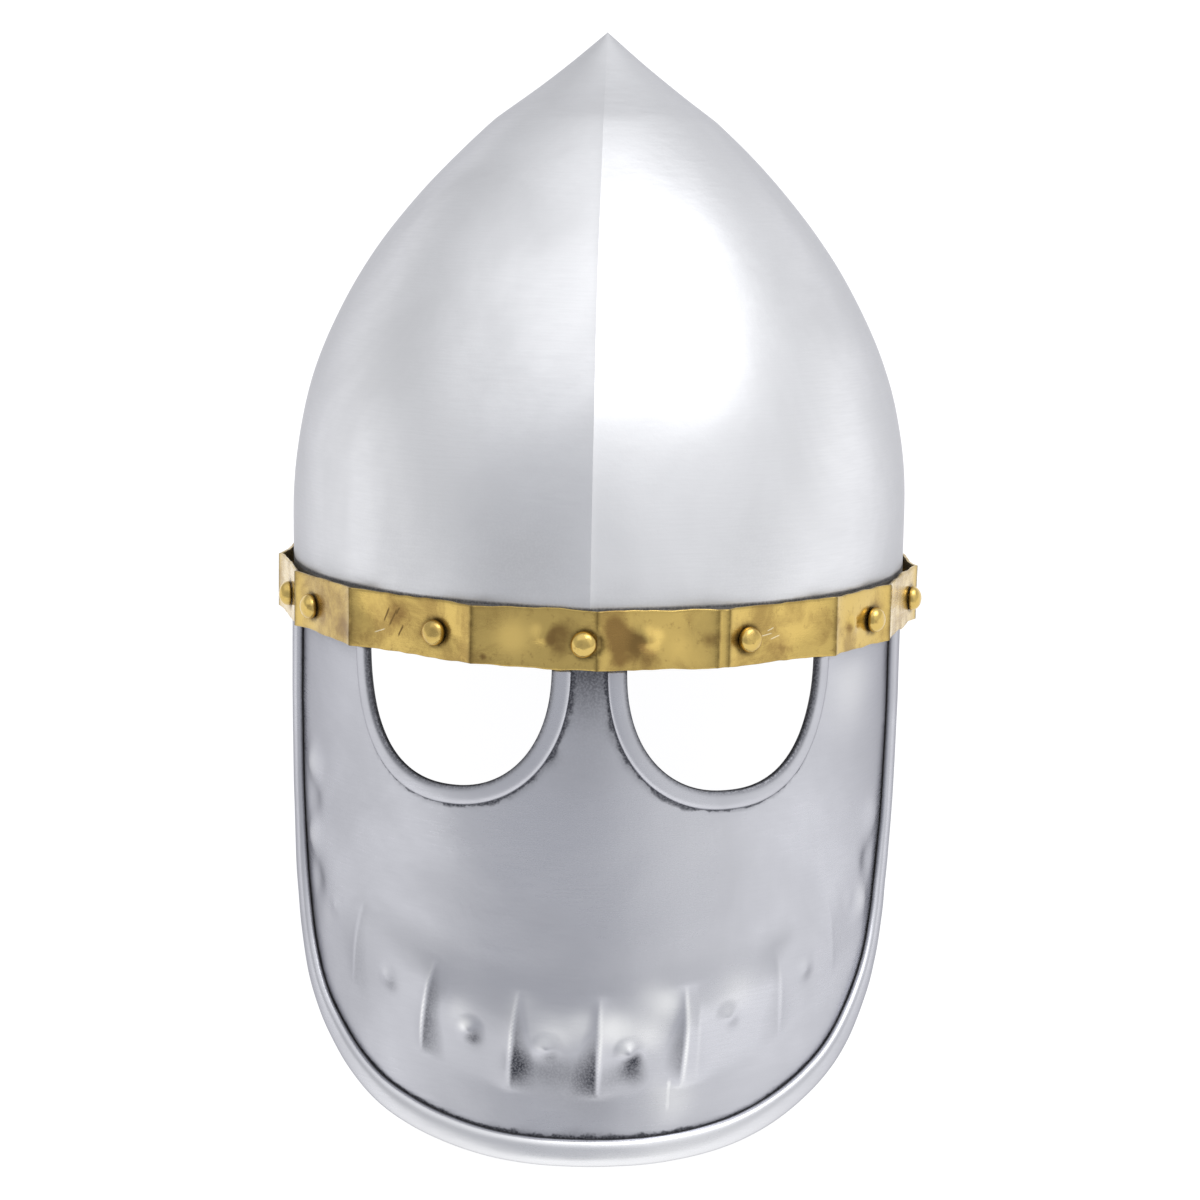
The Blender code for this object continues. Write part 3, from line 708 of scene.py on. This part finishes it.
def build_band(s, finish):
    """The folded strip, raised row by row, dented and thickened outwards."""
    rows, fold_rise, fold_reach = 22, 0.0008, 0.0030
    dimple, dimple_reach, brown, brown_reach = 0.00035, 0.0065, 0.55, 0.0070
    ring = band_ring(s)
    bm = bmesh.new()
    flat, grime_and_painted_light = tagged(bm)
    stain_and_painted_light = bm.verts.layers.float.new("stain_and_painted_light")
    stains_and_painted_light = round_rim(s, BAND_STAINS_AND_PAINTED_LIGHT)
    places = bm.verts.layers.int.new("place")
    lower = [bm.verts.new((x, y, 0.0)) for x, y, apart in ring]
    for number, vertex in enumerate(lower):
        vertex[places] = number
    edges = [bm.edges.new(pair) for pair in zip(lower, lower[1:] + lower[:1])]
    for _ in range(rows):
        raised = bmesh.ops.extrude_edge_only(bm, edges=edges)["geom"]
        verts = [item for item in raised if isinstance(item, bmesh.types.BMVert)]
        bmesh.ops.translate(bm, verts=verts, vec=(0.0, 0.0, s.band_height / rows))
        new = set(verts)
        edges = [item for item in raised
                 if isinstance(item, bmesh.types.BMEdge) and set(item.verts) <= new]
    for vertex in bm.verts:
        x, y, z = vertex.co
        apart = ring[vertex[places]][2]
        angle = oval_angle(s, x, y)
        outward = Vector((x / s.skull_width, y / s.skull_depth, 0.0)).normalized()
        share = z / s.band_height
        rise = fold_rise * exp(-apart / fold_reach) + band_dents(s, angle, z)
        rise += wave(x, y, z * 0.6, 0.018, 0.00042)
        near = rivet_distance(s, angle, z)
        rise -= dimple * bell(near, dimple_reach)
        vertex.co = Vector((x, y, z)) + outward * rise
        uneven = wave(x, y, 5.0, 0.009, 0.00045) + wave(x, y, 9.0, 0.004, 0.00020)
        vertex.co.z += uneven * (2.0 * share - 1.0) ** 3
        vertex[flat] = (x, y, z)
        # Patina stains, with painted highlights and painted shade beside the bumps
        own = stains_and_painted_light_at(stains_and_painted_light, radians(angle) * s.skull_width / 2, z)
        round_rivet = brown * bell(near, brown_reach)
        vertex[stain_and_painted_light] = max(-1.0, own) if abs(own) > round_rivet else round_rivet
        # Dirt and painted shade in a thin ring round each rivet head
        ring_dirt_and_shade = 0.90 * bell(near - s.rivet_radius, 0.0010)
        fold_dirt = 0.75 * exp(-apart / 0.0005)
        edge_dirt = 0.25 * exp(-min(z, s.band_height - z) / 0.0006)
        vertex[grime_and_painted_light] = max(ring_dirt_and_shade, fold_dirt, edge_dirt)
    bmesh.ops.recalc_face_normals(bm, faces=bm.faces)
    brass = brass_material("band_patinated_brass", s, finish, 0.12, 0.6, DARK_SCRATCHES,
                           PALE_SCRATCHES)
    band = finished(bm, "folded_brow_band", "brow_band", brass, 50.0)
    thickened(band, s.band_thickness, 1.0)
    softened(band, 0.00022, 55.0)


# Face mask


def plate_offset(s):
    """How far the middle of the mask's plate is from the skull's outside."""
    return -(s.skull_wall + s.plate_gap + s.plate / 2)


def arc_table(s):
    """Angles, and the lengths along the middle of the mask's plate up to each of them."""
    last_angle, step = 130.0, 0.25
    angles = [i * step for i in range(round(last_angle / step) + 1)]
    return angles, lengths_along([oval(s, angle, plate_offset(s)) for angle in angles])


def angle_at(table, arc):
    """The angle at a length along the plate."""
    angles, lengths = table
    i, part = step_at(lengths, abs(arc))
    return copysign(angles[i - 1] + part * (angles[i] - angles[i - 1]), arc)


def arc_at(table, angle):
    """The length along the plate up to an angle."""
    angles, lengths = table
    return lengths[min(bisect_left(angles, angle), len(angles) - 1)]


def u_point(shape, turn):
    """A point of a U and the direction straight out of it, at a turn from its lowest point."""
    reach = abs(sin(turn)) ** (2.0 / shape.side_power)
    drop = abs(cos(turn)) ** (2.0 / shape.chin_power)
    across = copysign(shape.side_power / shape.half_width * reach ** (shape.side_power - 1.0), turn)
    down = -shape.chin_power / shape.depth * drop ** (shape.chin_power - 1.0)
    point = Vector((shape.centre + copysign(shape.half_width * reach, turn), -shape.depth * drop))
    return point, Vector((across, down)).normalized()


def u_line(shape, top_gap, pitch):
    """Evenly spaced points of a U, from its left end to its right, with their outward directions."""
    steps, crowding = 1200, 3
    last = acos((top_gap / shape.depth) ** (shape.chin_power / 2))
    shares = [2 * i / steps - 1 for i in range(steps + 1)]
    turns = [copysign(last * (1 - (1 - abs(q)) ** crowding), q) for q in shares]
    points = [u_point(shape, turn)[0] for turn in turns]
    lengths = lengths_along(points)
    pieces = round(lengths[-1] / pitch)
    found = []
    for number in range(pieces + 1):
        i, part = step_at(lengths, lengths[-1] * number / pieces)
        found.append(u_point(shape, turns[i - 1] + part * (turns[i] - turns[i - 1])))
    return found


def spaced(corners, pitch):
    """Points along straight runs between corners, without the first and the last corner."""
    points = []
    for first, second in zip(corners, corners[1:]):
        count = max(1, round(dist(first, second) / pitch))
        points += [Vector(first).lerp(Vector(second), i / count) for i in range(count)]
    return points[1:]


def mask_rolls(s, pitch):
    """The rolled edge and the two rolled eye rims, each as the line of its outermost points."""
    top_gap = 0.0004
    jaw = U(0.0, s.mask_half_arc, s.mask_depth, side_power=2.4, chin_power=3.2)
    edge = u_line(jaw, top_gap, pitch)
    rolls = [Roll([p for p, out in edge], [-out for p, out in edge], s.edge_roll_width,
                  s.edge_roll_rise, squareness=0.82, wall_dirt=0.0, low_shine=0.65)]
    for side in (-1, 1):
        eye = U(side * s.eye_centre, s.eye_half_width, s.eye_depth, side_power=2.3, chin_power=2.3)
        rim = u_line(eye, top_gap, pitch)
        rolls.append(Roll([p for p, out in rim], [out for p, out in rim], s.eye_roll_width,
                          s.eye_roll_rise, squareness=0.58, wall_dirt=0.9, low_shine=0.0))
    return rolls


def flat_sheet(s, bm, rolls, table, pitch, row_pitch):
    """Fills the sheet between its rolls, finer in the row, and returns each roll's base edges."""
    eye_top, clear = 0.0005, 0.7
    last_held = max(abs(angle) for angle in MASK_RIVETS)
    first_free = min(min(angle, 360.0 - angle) for angle in SKULL_RIVETS)
    strip = arc_at(table, (last_held + first_free) / 2)
    loops = []
    for roll in rolls:
        base = [p + into * roll.width / 2 for p, into in zip(roll.rim, roll.into)]
        if not loops:
            low = base[0].y
            corners = [base[-1], (strip, low), (strip, s.strip_height), (-strip, s.strip_height),
                       (-strip, low), base[0]]
        else:
            corners = [base[-1], (base[-1].x, eye_top), (base[0].x, eye_top), base[0]]
        loops.append((base, base + spaced(corners, pitch)))
    points, faces, counts = [], [], []
    for base, loop in loops:
        faces.append(list(range(len(points), len(points) + len(loop))))
        counts.append(len(base))
        points += loop
    fence = KDTree(len(points))
    for number, point in enumerate(points):
        fence.insert((point.x, point.y, 0.0), number)
    fence.balance()
    for spacing, fine in ((pitch, False), (row_pitch, True)):
        level_pitch = spacing * sqrt(3) / 2
        columns, levels = round(s.mask_half_arc / spacing), round(s.mask_depth / level_pitch)
        above = round(s.strip_height / level_pitch)
        for level in range(-levels, above + 1):
            for column in range(-columns, columns + 1):
                x, y = (column + 0.5 * (level % 2)) * spacing, level * level_pitch
                if in_row(x, y) == fine and fence.find((x, y, 0.0))[2] > clear * pitch:
                    points.append(Vector((x, y)))
    made = delaunay_2d_cdt(points, [], faces, 1, 1e-7, True)
    verts = [bm.verts.new((point.x, 0.0, point.y)) for point in made[0]]
    for corners, inside in zip(made[2], made[5]):
        if inside == [0]:
            bm.faces.new([verts[i] for i in corners])
    places = bm.verts.layers.int["place"]
    bases = []
    for face, count in zip(faces, counts):
        chain = [verts[i] for i in face[:count]]
        for number, vertex in enumerate(chain):
            vertex[places] = number
        bases.append([bm.edges.get(pair) for pair in zip(chain, chain[1:])])
    bmesh.ops.delete(bm, geom=[v for v in bm.verts if not v.link_faces], context="VERTS")
    return bases


def curl_up(bm, s, roll, edges):
    """Rolls the sheet outwards: an oval curl that comes back to just above the plate."""
    steps, first, last, lip_start, lip_dirt_and_shade, wall_reach = 20, 270.0, -16.0, 0.90, 0.6, 0.0006
    places = bm.verts.layers.int["place"]
    insets = bm.verts.layers.float["inset"]
    grime_and_painted_light = bm.verts.layers.float["grime_and_painted_light"]
    half = (roll.width - s.plate) / 2
    for step in range(1, steps + 1):
        turn = radians(first + (last - first) * step / steps)
        inset = roll.width / 2 + half * copysign(abs(cos(turn)) ** roll.squareness, cos(turn))
        lift = roll.rise / 2 * (1.0 + copysign(abs(sin(turn)) ** roll.squareness, sin(turn)))
        # Painted shade on the eye rims' inner walls, and dirt and painted shade where the lip comes
        # back to the plate
        wall = roll.wall_dirt * bell(inset - s.plate / 2, wall_reach)
        lip = lip_dirt_and_shade if step > lip_start * steps else 0.0
        grown = bmesh.ops.extrude_edge_only(bm, edges=edges)["geom"]
        verts = {item for item in grown if isinstance(item, bmesh.types.BMVert)}
        for vertex in verts:
            place = vertex[places]
            point = roll.rim[place] + roll.into[place] * inset
            vertex.co = (point.x, -lift, point.y)
            vertex[insets] = inset
            low = min(1.0, max(0.0, -point.y / s.mask_depth))
            # Painted highlight low on the rolled edge, where nothing darkens it
            vertex[grime_and_painted_light] = max(wall, lip) or -roll.low_shine * low**8
        edges = [e for e in grown if isinstance(e, bmesh.types.BMEdge) and set(e.verts) <= verts]


def row_middle(arc):
    """The height of the middle of the hammered row, which curves along the jaw."""
    return -ROW_DEPTH + ROW_RADIUS - sqrt(ROW_RADIUS**2 - arc**2)


def in_row(arc, height):
    """Whether a place is in the part of the row that has the finer mesh."""
    long, tall = 0.82, 0.92
    return abs(arc) < long * ROW_REACH and abs(height - row_middle(arc)) < tall * ROW_HALF_HEIGHT


def row_relief(s, arc, height):
    """The rise of the hammered row, and its dirt and painted shade beside the ridges and under the
    knobs, or, if negative, its painted highlights along the ridges, on the upper row and above the
    knobs.
    """
    full_reach, crest, top, knob_reach, flank, line = 0.070, 0.35, 1.45, 0.0056, 0.0075, 0.0007
    if abs(arc) >= ROW_REACH:
        return 0.0, 0.0
    across = (height - row_middle(arc)) / ROW_HALF_HEIGHT
    fade = min(1.0, (ROW_REACH - abs(arc)) / (ROW_REACH - full_reach))
    rise, dirt, painted_highlight = 0.0, 0.0, 0.0
    if -1.0 < across < top:
        side = (top - across) / (top - crest) if across > crest else (1.0 + across) / (1.0 + crest)
        rise += s.row_rise * side * side * (3.0 - 2.0 * side)
    if abs(across) < 1.0:
        upright = (1.0 - across**2) ** 0.9
        cut = 1.0 - across**6
        low = 0.5 * (1.0 - across)
        for ridge in RIDGES:
            apart = arc - ridge.arc - ridge.lean * across
            if abs(apart) < 0.02:
                rise += s.ridge_rise * ridge.rise * exp(-abs(apart) / 0.0042) * upright
                # Painted highlight along each ridge's crest
                painted_highlight = max(painted_highlight, 0.8 * ridge.rise**2 * bell(apart, line) * upright)
                # Dirt and painted shade on either side of each ridge
                wedge = abs(apart) / (flank * (0.30 + low))
                if wedge < 1.0:
                    amount = ridge.right if apart > 0.0 else ridge.left
                    start = min(1.0, abs(apart) / line)
                    amount *= start * (1.0 - wedge) * cut * min(1.0, 0.25 + 1.3 * low)
                    dirt = max(dirt, amount)
        # Painted highlight over the upper middle of the row
        painted_highlight = max(painted_highlight, 0.20 * bell(arc - 0.005, 0.046) * bell(across - 0.40, 0.42))
    for knob in KNOBS:
        apart = hypot(arc - knob.arc, height - knob.height)
        if apart < knob_reach:
            rise += s.knob_rise * knob.rise * (1.0 - apart / knob_reach) ** 1.6
        # Painted shade below and right of each knob, and a painted highlight above and left of it
        under = hypot(arc - knob.arc - 0.0014, height - knob.height + 0.0018)
        dirt = max(dirt, 0.90 * knob.dirt * bell(under, 0.0026))
        over = hypot(arc - knob.arc + 0.0010, height - knob.height - 0.0012)
        painted_highlight = max(painted_highlight, 0.8 * knob.dirt * bell(over, 0.0024))
    return fade * rise, fade * (dirt - painted_highlight * (1.0 - dirt))


def mask_relief(s, arc, height):
    """The rise of the mask's sheet, with its row and dents, and the row's dirt, painted shade and
    painted highlights.
    """
    rise, dirt = row_relief(s, arc, height)
    for dent in MASK_DENTS:
        apart = hypot(arc - dent.place, height - dent.height) / dent.reach
        if apart < 3.0:
            rise += dent.rise * exp(-(apart**2))
    less_worked = 0.4 + min(1.0, max(0.0, -height / s.mask_depth))
    rise += wave(arc, height, 2.0, 0.028, 0.0005 * less_worked)
    rise += wave(arc, height, 4.0, 0.011, 0.00012 * less_worked)
    return rise, dirt


def build_mask(s, finish):
    """The sheet filled flat, its edges rolled, its relief hammered, and bent round the face."""
    pitch, row_pitch, far_off = 0.0015, 0.0007, 1.0
    seam_dirt_and_shade, seam_reach, nose_reach = 0.55, 0.0007, 0.024
    table = arc_table(s)
    bm = bmesh.new()
    flat, grime_and_painted_light = tagged(bm)
    bm.verts.layers.int.new("place")
    insets = bm.verts.layers.float.new("inset")
    beyond = bm.verts.layers.float.new("beyond")
    rolls = mask_rolls(s, pitch)
    bases = flat_sheet(s, bm, rolls, table, pitch, row_pitch)
    seam = KDTree(sum(len(roll.rim) for roll in rolls))
    widths = []
    for roll in rolls:
        for point in roll.rim:
            seam.insert((point.x, 0.0, point.y), len(widths))
            widths.append(roll.width)
    seam.balance()
    for vertex in bm.verts:
        arc, _, height = vertex.co
        _, number, apart = seam.find(vertex.co)
        vertex[beyond] = apart - widths[number]
        # Dirt and painted shade in the seams beside the rolled edges, widest beside the nose
        reach = seam_reach * (1.0 + 1.8 * bell(arc, nose_reach))
        reach *= 1.0 + wave(arc, height, 7.0, 0.006, 0.7)
        dirt = seam_dirt_and_shade * bell(max(0.0, vertex[beyond]), reach)
        # Painted shadow of the band on the nose bridge, and painted shade all along just below the band
        band_shadow_on_bridge = 0.80 * bell(arc, 0.015) * exp(-max(0.0, -height - 0.003) / 0.009)
        shade = 0.50 * exp(-max(0.0, -height) / 0.003)
        vertex[grime_and_painted_light] = max(dirt, band_shadow_on_bridge, shade)
    for roll, edges in zip(rolls, bases):
        curl_up(bm, s, roll, edges)
    for vertex in bm.verts:
        arc, back, height = vertex.co
        rise, dirt = mask_relief(s, arc, height)
        if vertex[insets]:
            vertex[beyond] = far_off
        else:
            # Stains with painted shade and painted highlights on the row, the dents and the bridge
            worn = max(-1.0, dirt + stains_and_painted_light_at(MASK_STAINS_AND_PAINTED_LIGHT, arc, height))
            vertex[grime_and_painted_light] = min(1.0, vertex[grime_and_painted_light] + worn * (1.0 - vertex[grime_and_painted_light]))
        vertex[flat] = (arc, back, height)
        x, y = oval(s, angle_at(table, arc), plate_offset(s) - back + rise)
        vertex.co = (x, y, height)
    bmesh.ops.recalc_face_normals(bm, faces=bm.faces)
    steel = steel_material("mask_polished_steel", tuple(finish.mask_steel), finish, 0.29,
                           painted_highlight_lines=MASK_DENT_HIGHLIGHTS)
    mask = finished(bm, "hammered_face_mask", "face_mask", steel, 60.0)
    thickened(mask, s.plate, 0.0)


# Rivets


def band_panel(s, angle):
    """The middle and the outward direction of the band at an angle, on its outer face."""
    creases = sorted(a if a < 180.0 else a - 360.0 for a in CREASES)
    turned = angle if angle < 180.0 else angle - 360.0
    after = bisect_left(creases, turned) % len(creases)
    first = Vector(crease_corner(s, creases[after - 1]))
    second = Vector(crease_corner(s, creases[after]))
    run = (second - first).normalized()
    outward = Vector((run.y, -run.x))
    start = first + run * (Vector(oval(s, turned)) - first).dot(run)
    return start + outward * s.band_thickness, outward


def rivet_grip(s, angle, start, outward):
    """The length of shank from the head to a tail that clears the last plate."""
    tail_radius, clearance = 0.0031, 0.0006
    depth = s.skull_wall
    if angle in MASK_RIVETS:
        depth += s.plate_gap + s.plate
    before, after = Vector(oval(s, angle - 1.0)), Vector(oval(s, angle + 1.0))
    lean = abs((after - before).normalized().dot(outward))
    return (start - Vector(oval(s, angle, -depth))).dot(outward) + tail_radius * lean + clearance


def rivet_profile(s, grip):
    """Half of a rivet's section, top to bottom: domed head, shank and peened tail."""
    shank, tail_radius, tail_rise, lip = 0.0018, 0.0031, 0.0011, 0.0004
    head_turns = [radians(turn) for turn in range(0, 90, 9)]
    tail_turns = [radians(turn) for turn in range(90, 0, -15)]
    head = [(s.rivet_radius * sin(turn) ** 0.92, lip + (s.rivet_rise - lip) * cos(turn) ** 0.9)
            for turn in head_turns]
    head += [(s.rivet_radius, lip), (s.rivet_radius * 0.985, lip * 0.4), (s.rivet_radius * 0.95, 0.0)]
    tail = [(tail_radius * sin(turn), -grip - tail_rise * cos(turn)) for turn in tail_turns]
    top, bottom = [(0.0, s.rivet_rise)], [(0.0, -grip - tail_rise)]
    return top + head[1:] + [(shank, 0.0), (shank, -grip)] + tail + bottom


def build_rivets(s, finish):
    """Turned rivets, each a little out of round and set by hand."""
    steps, seated, dirt, dirt_and_shade_reach, dirt_and_shade_top = 40, 0.0001, 0.8, 0.00045, 0.9
    brass = brass_material("rivet_rubbed_brass", s, finish, 0.11, 0.40)
    for number, angle in enumerate(sorted(MASK_RIVETS + SKULL_RIVETS), start=1):
        start, outward = band_panel(s, angle)
        grip = rivet_grip(s, angle, start, outward)
        bm = bmesh.new()
        flat, grime_and_painted_light = tagged(bm)
        lathed(bm, rivet_profile(s, grip), steps)
        for vertex in bm.verts:
            x, y, z = vertex.co
            vertex[flat] = (x + number, y, z)
            # Dirt and painted shade at the foot of the head, where it meets the band
            if z < s.rivet_rise * dirt_and_shade_top:
                vertex[grime_and_painted_light] = dirt * exp(-max(0.0, z) / dirt_and_shade_reach)
            if z > 0.0:
                wider = 1.0 + wave(x, y, number, 0.004, 0.05)
                taller = 1.0 + wave(x, y, number + 0.5, 0.0028, 0.10)
                vertex.co = (x * wider, y * wider, z * taller)
        bmesh.ops.recalc_face_normals(bm, faces=bm.faces)
        aim = Vector((outward.x, outward.y, 0.0))
        place = Vector((start.x, start.y, RIVET_HEIGHT)) + aim * seated
        bm.transform(Matrix.LocRotScale(place, aim.to_track_quat("Z", "Y"), None))
        finished(bm, f"brass_rivet_{number:02d}", f"rivet_{number:02d}", brass, 50.0)


# Stage


def add_light(name, place, size, power):
    """A soft light that is aimed at the middle of the helmet."""
    aim = (0.0, 0.0, 0.1)
    light = bpy.data.lights.new(name, "AREA")
    light.shape = "RECTANGLE"
    light.size, light.size_y = size
    light.energy = power
    lamp = placed(name, light)
    lamp.location = place
    lamp.rotation_mode = "QUATERNION"
    lamp.rotation_quaternion = (Vector(aim) - Vector(place)).to_track_quat("-Z", "Y")
    lamp.visible_camera = False


def add_world():
    """Pale surroundings, brightest overhead, with a faint darker patch low in front."""
    world = bpy.data.worlds.new("studio")
    bpy.context.scene.world = world
    world.use_nodes = True
    tree = world.node_tree
    aim = put(tree, "ShaderNodeTexCoord").outputs["Generated"]
    part = parts(tree, aim)
    sides = fit(tree, part[0], -0.8, 0.8)
    around = mix(tree, sides, (0.72, 0.725, 0.74, 1.0), (0.88, 0.885, 0.90, 1.0))
    domed = mix(tree, fit(tree, part[2], 0.42, 0.82), around, (1.14, 1.145, 1.16, 1.0))
    side, above = radians(-21.0), radians(27.0)
    patch = Vector((sin(side) * cos(above), -cos(side) * cos(above), sin(above)))
    near = vector_math(tree, "DOT_PRODUCT", aim, tuple(patch), 1)
    shade = mix(tree, fit(tree, near, 0.64, 0.98), domed, (0.60, 0.61, 0.645, 1.0))
    low = mix(tree, fit(tree, part[2], 0.14, 0.0), shade, (1.02, 1.02, 1.02, 1.0))
    tree.links.new(low, tree.nodes["Background"].inputs["Color"])


def add_camera():
    """A camera a little above the rim's plane, as the photograph was taken."""
    distance, above, aside, roll, lens, sensor = 0.850, 9.2, 1.0, 1.02, 73.7, 36.0
    picture, moved_right, moved_up = 1200, 2.4, 3.6
    camera = bpy.data.cameras.new("camera")
    camera.lens = lens
    camera.sensor_width = sensor
    camera.shift_x = moved_right / picture
    camera.shift_y = moved_up / picture
    turn, lift = radians(aside), radians(above)
    back = Vector((sin(turn) * cos(lift), -cos(turn) * cos(lift), sin(lift)))
    right = Vector((0.0, 0.0, 1.0)).cross(back).normalized()
    up = back.cross(right)
    axes = Matrix((right, up, back)).transposed().to_4x4() @ Matrix.Rotation(radians(roll), 4, "Z")
    taker = placed("camera", camera)
    taker.matrix_world = REST @ Matrix.Translation(back * distance) @ axes
    bpy.context.scene.camera = taker


def build_stage(finish):
    """The floor, far enough out to have no edge in sight, the surroundings, lights and camera."""
    half_size = 60.0
    bm = bmesh.new()
    bmesh.ops.create_grid(bm, x_segments=8, y_segments=8, size=half_size)
    floor = meshed(bm, "floor", floor_material(finish))
    add_world()
    add_light("key", (0.64, 0.24, 1.75), (0.65, 0.7), 4.2)
    add_light("soft", (0.75, 0.30, 1.90), (1.7, 1.8), 9.0)
    add_camera()
    bpy.context.scene.view_settings.view_transform = "Standard"


# Operators and panel


class HELMET_OT_skull(bpy.types.Operator):
    """Build the keeled steel skull."""

    bl_idname = "helmet.skull"
    bl_label = "Skull"
    bl_options = {"REGISTER", "UNDO"}

    def execute(self, context):
        build_skull(context.scene.helmet_sizes, context.scene.helmet_finish)
        return {"FINISHED"}


class HELMET_OT_band(bpy.types.Operator):
    """Build the folded brass brow band."""

    bl_idname = "helmet.band"
    bl_label = "Brow band"
    bl_options = {"REGISTER", "UNDO"}

    def execute(self, context):
        build_band(context.scene.helmet_sizes, context.scene.helmet_finish)
        return {"FINISHED"}


class HELMET_OT_mask(bpy.types.Operator):
    """Build the steel face mask with its rolled edges."""

    bl_idname = "helmet.mask"
    bl_label = "Face mask"
    bl_options = {"REGISTER", "UNDO"}

    def execute(self, context):
        build_mask(context.scene.helmet_sizes, context.scene.helmet_finish)
        return {"FINISHED"}


class HELMET_OT_rivets(bpy.types.Operator):
    """Build the fourteen brass rivets."""

    bl_idname = "helmet.rivets"
    bl_label = "Rivets"
    bl_options = {"REGISTER", "UNDO"}

    def execute(self, context):
        build_rivets(context.scene.helmet_sizes, context.scene.helmet_finish)
        return {"FINISHED"}


class HELMET_OT_stage(bpy.types.Operator):
    """Lay the floor and set the lights and the camera."""

    bl_idname = "helmet.stage"
    bl_label = "Stage"
    bl_options = {"REGISTER", "UNDO"}

    def execute(self, context):
        build_stage(context.scene.helmet_finish)
        return {"FINISHED"}


STEPS = (HELMET_OT_stage, HELMET_OT_skull, HELMET_OT_band, HELMET_OT_mask, HELMET_OT_rivets)


class HELMET_PT_pieces(bpy.types.Panel):
    """Pieces, sizes and colours of the helmet."""

    bl_idname = "HELMET_PT_pieces"
    bl_label = "Keeled Helmet"
    bl_space_type = "VIEW_3D"
    bl_region_type = "UI"
    bl_category = "Helmet"

    def draw(self, context):
        for step in STEPS:
            self.layout.operator(step.bl_idname)
        for group in (context.scene.helmet_sizes, context.scene.helmet_finish):
            for name in group.__annotations__:
                self.layout.prop(group, name)


CLASSES = (HelmetSizes, HelmetFinish, *STEPS, HELMET_PT_pieces)


def register():
    for cls in CLASSES:
        bpy.utils.register_class(cls)
    bpy.types.Scene.helmet_sizes = PointerProperty(type=HelmetSizes)
    bpy.types.Scene.helmet_finish = PointerProperty(type=HelmetFinish)


def unregister():
    del bpy.types.Scene.helmet_finish
    del bpy.types.Scene.helmet_sizes
    for cls in reversed(CLASSES):
        bpy.utils.unregister_class(cls)


def main():
    register()
    bpy.ops.helmet.stage()
    bpy.ops.helmet.skull()
    bpy.ops.helmet.band()
    bpy.ops.helmet.mask()
    bpy.ops.helmet.rivets()


if __name__ == "__main__":
    main()
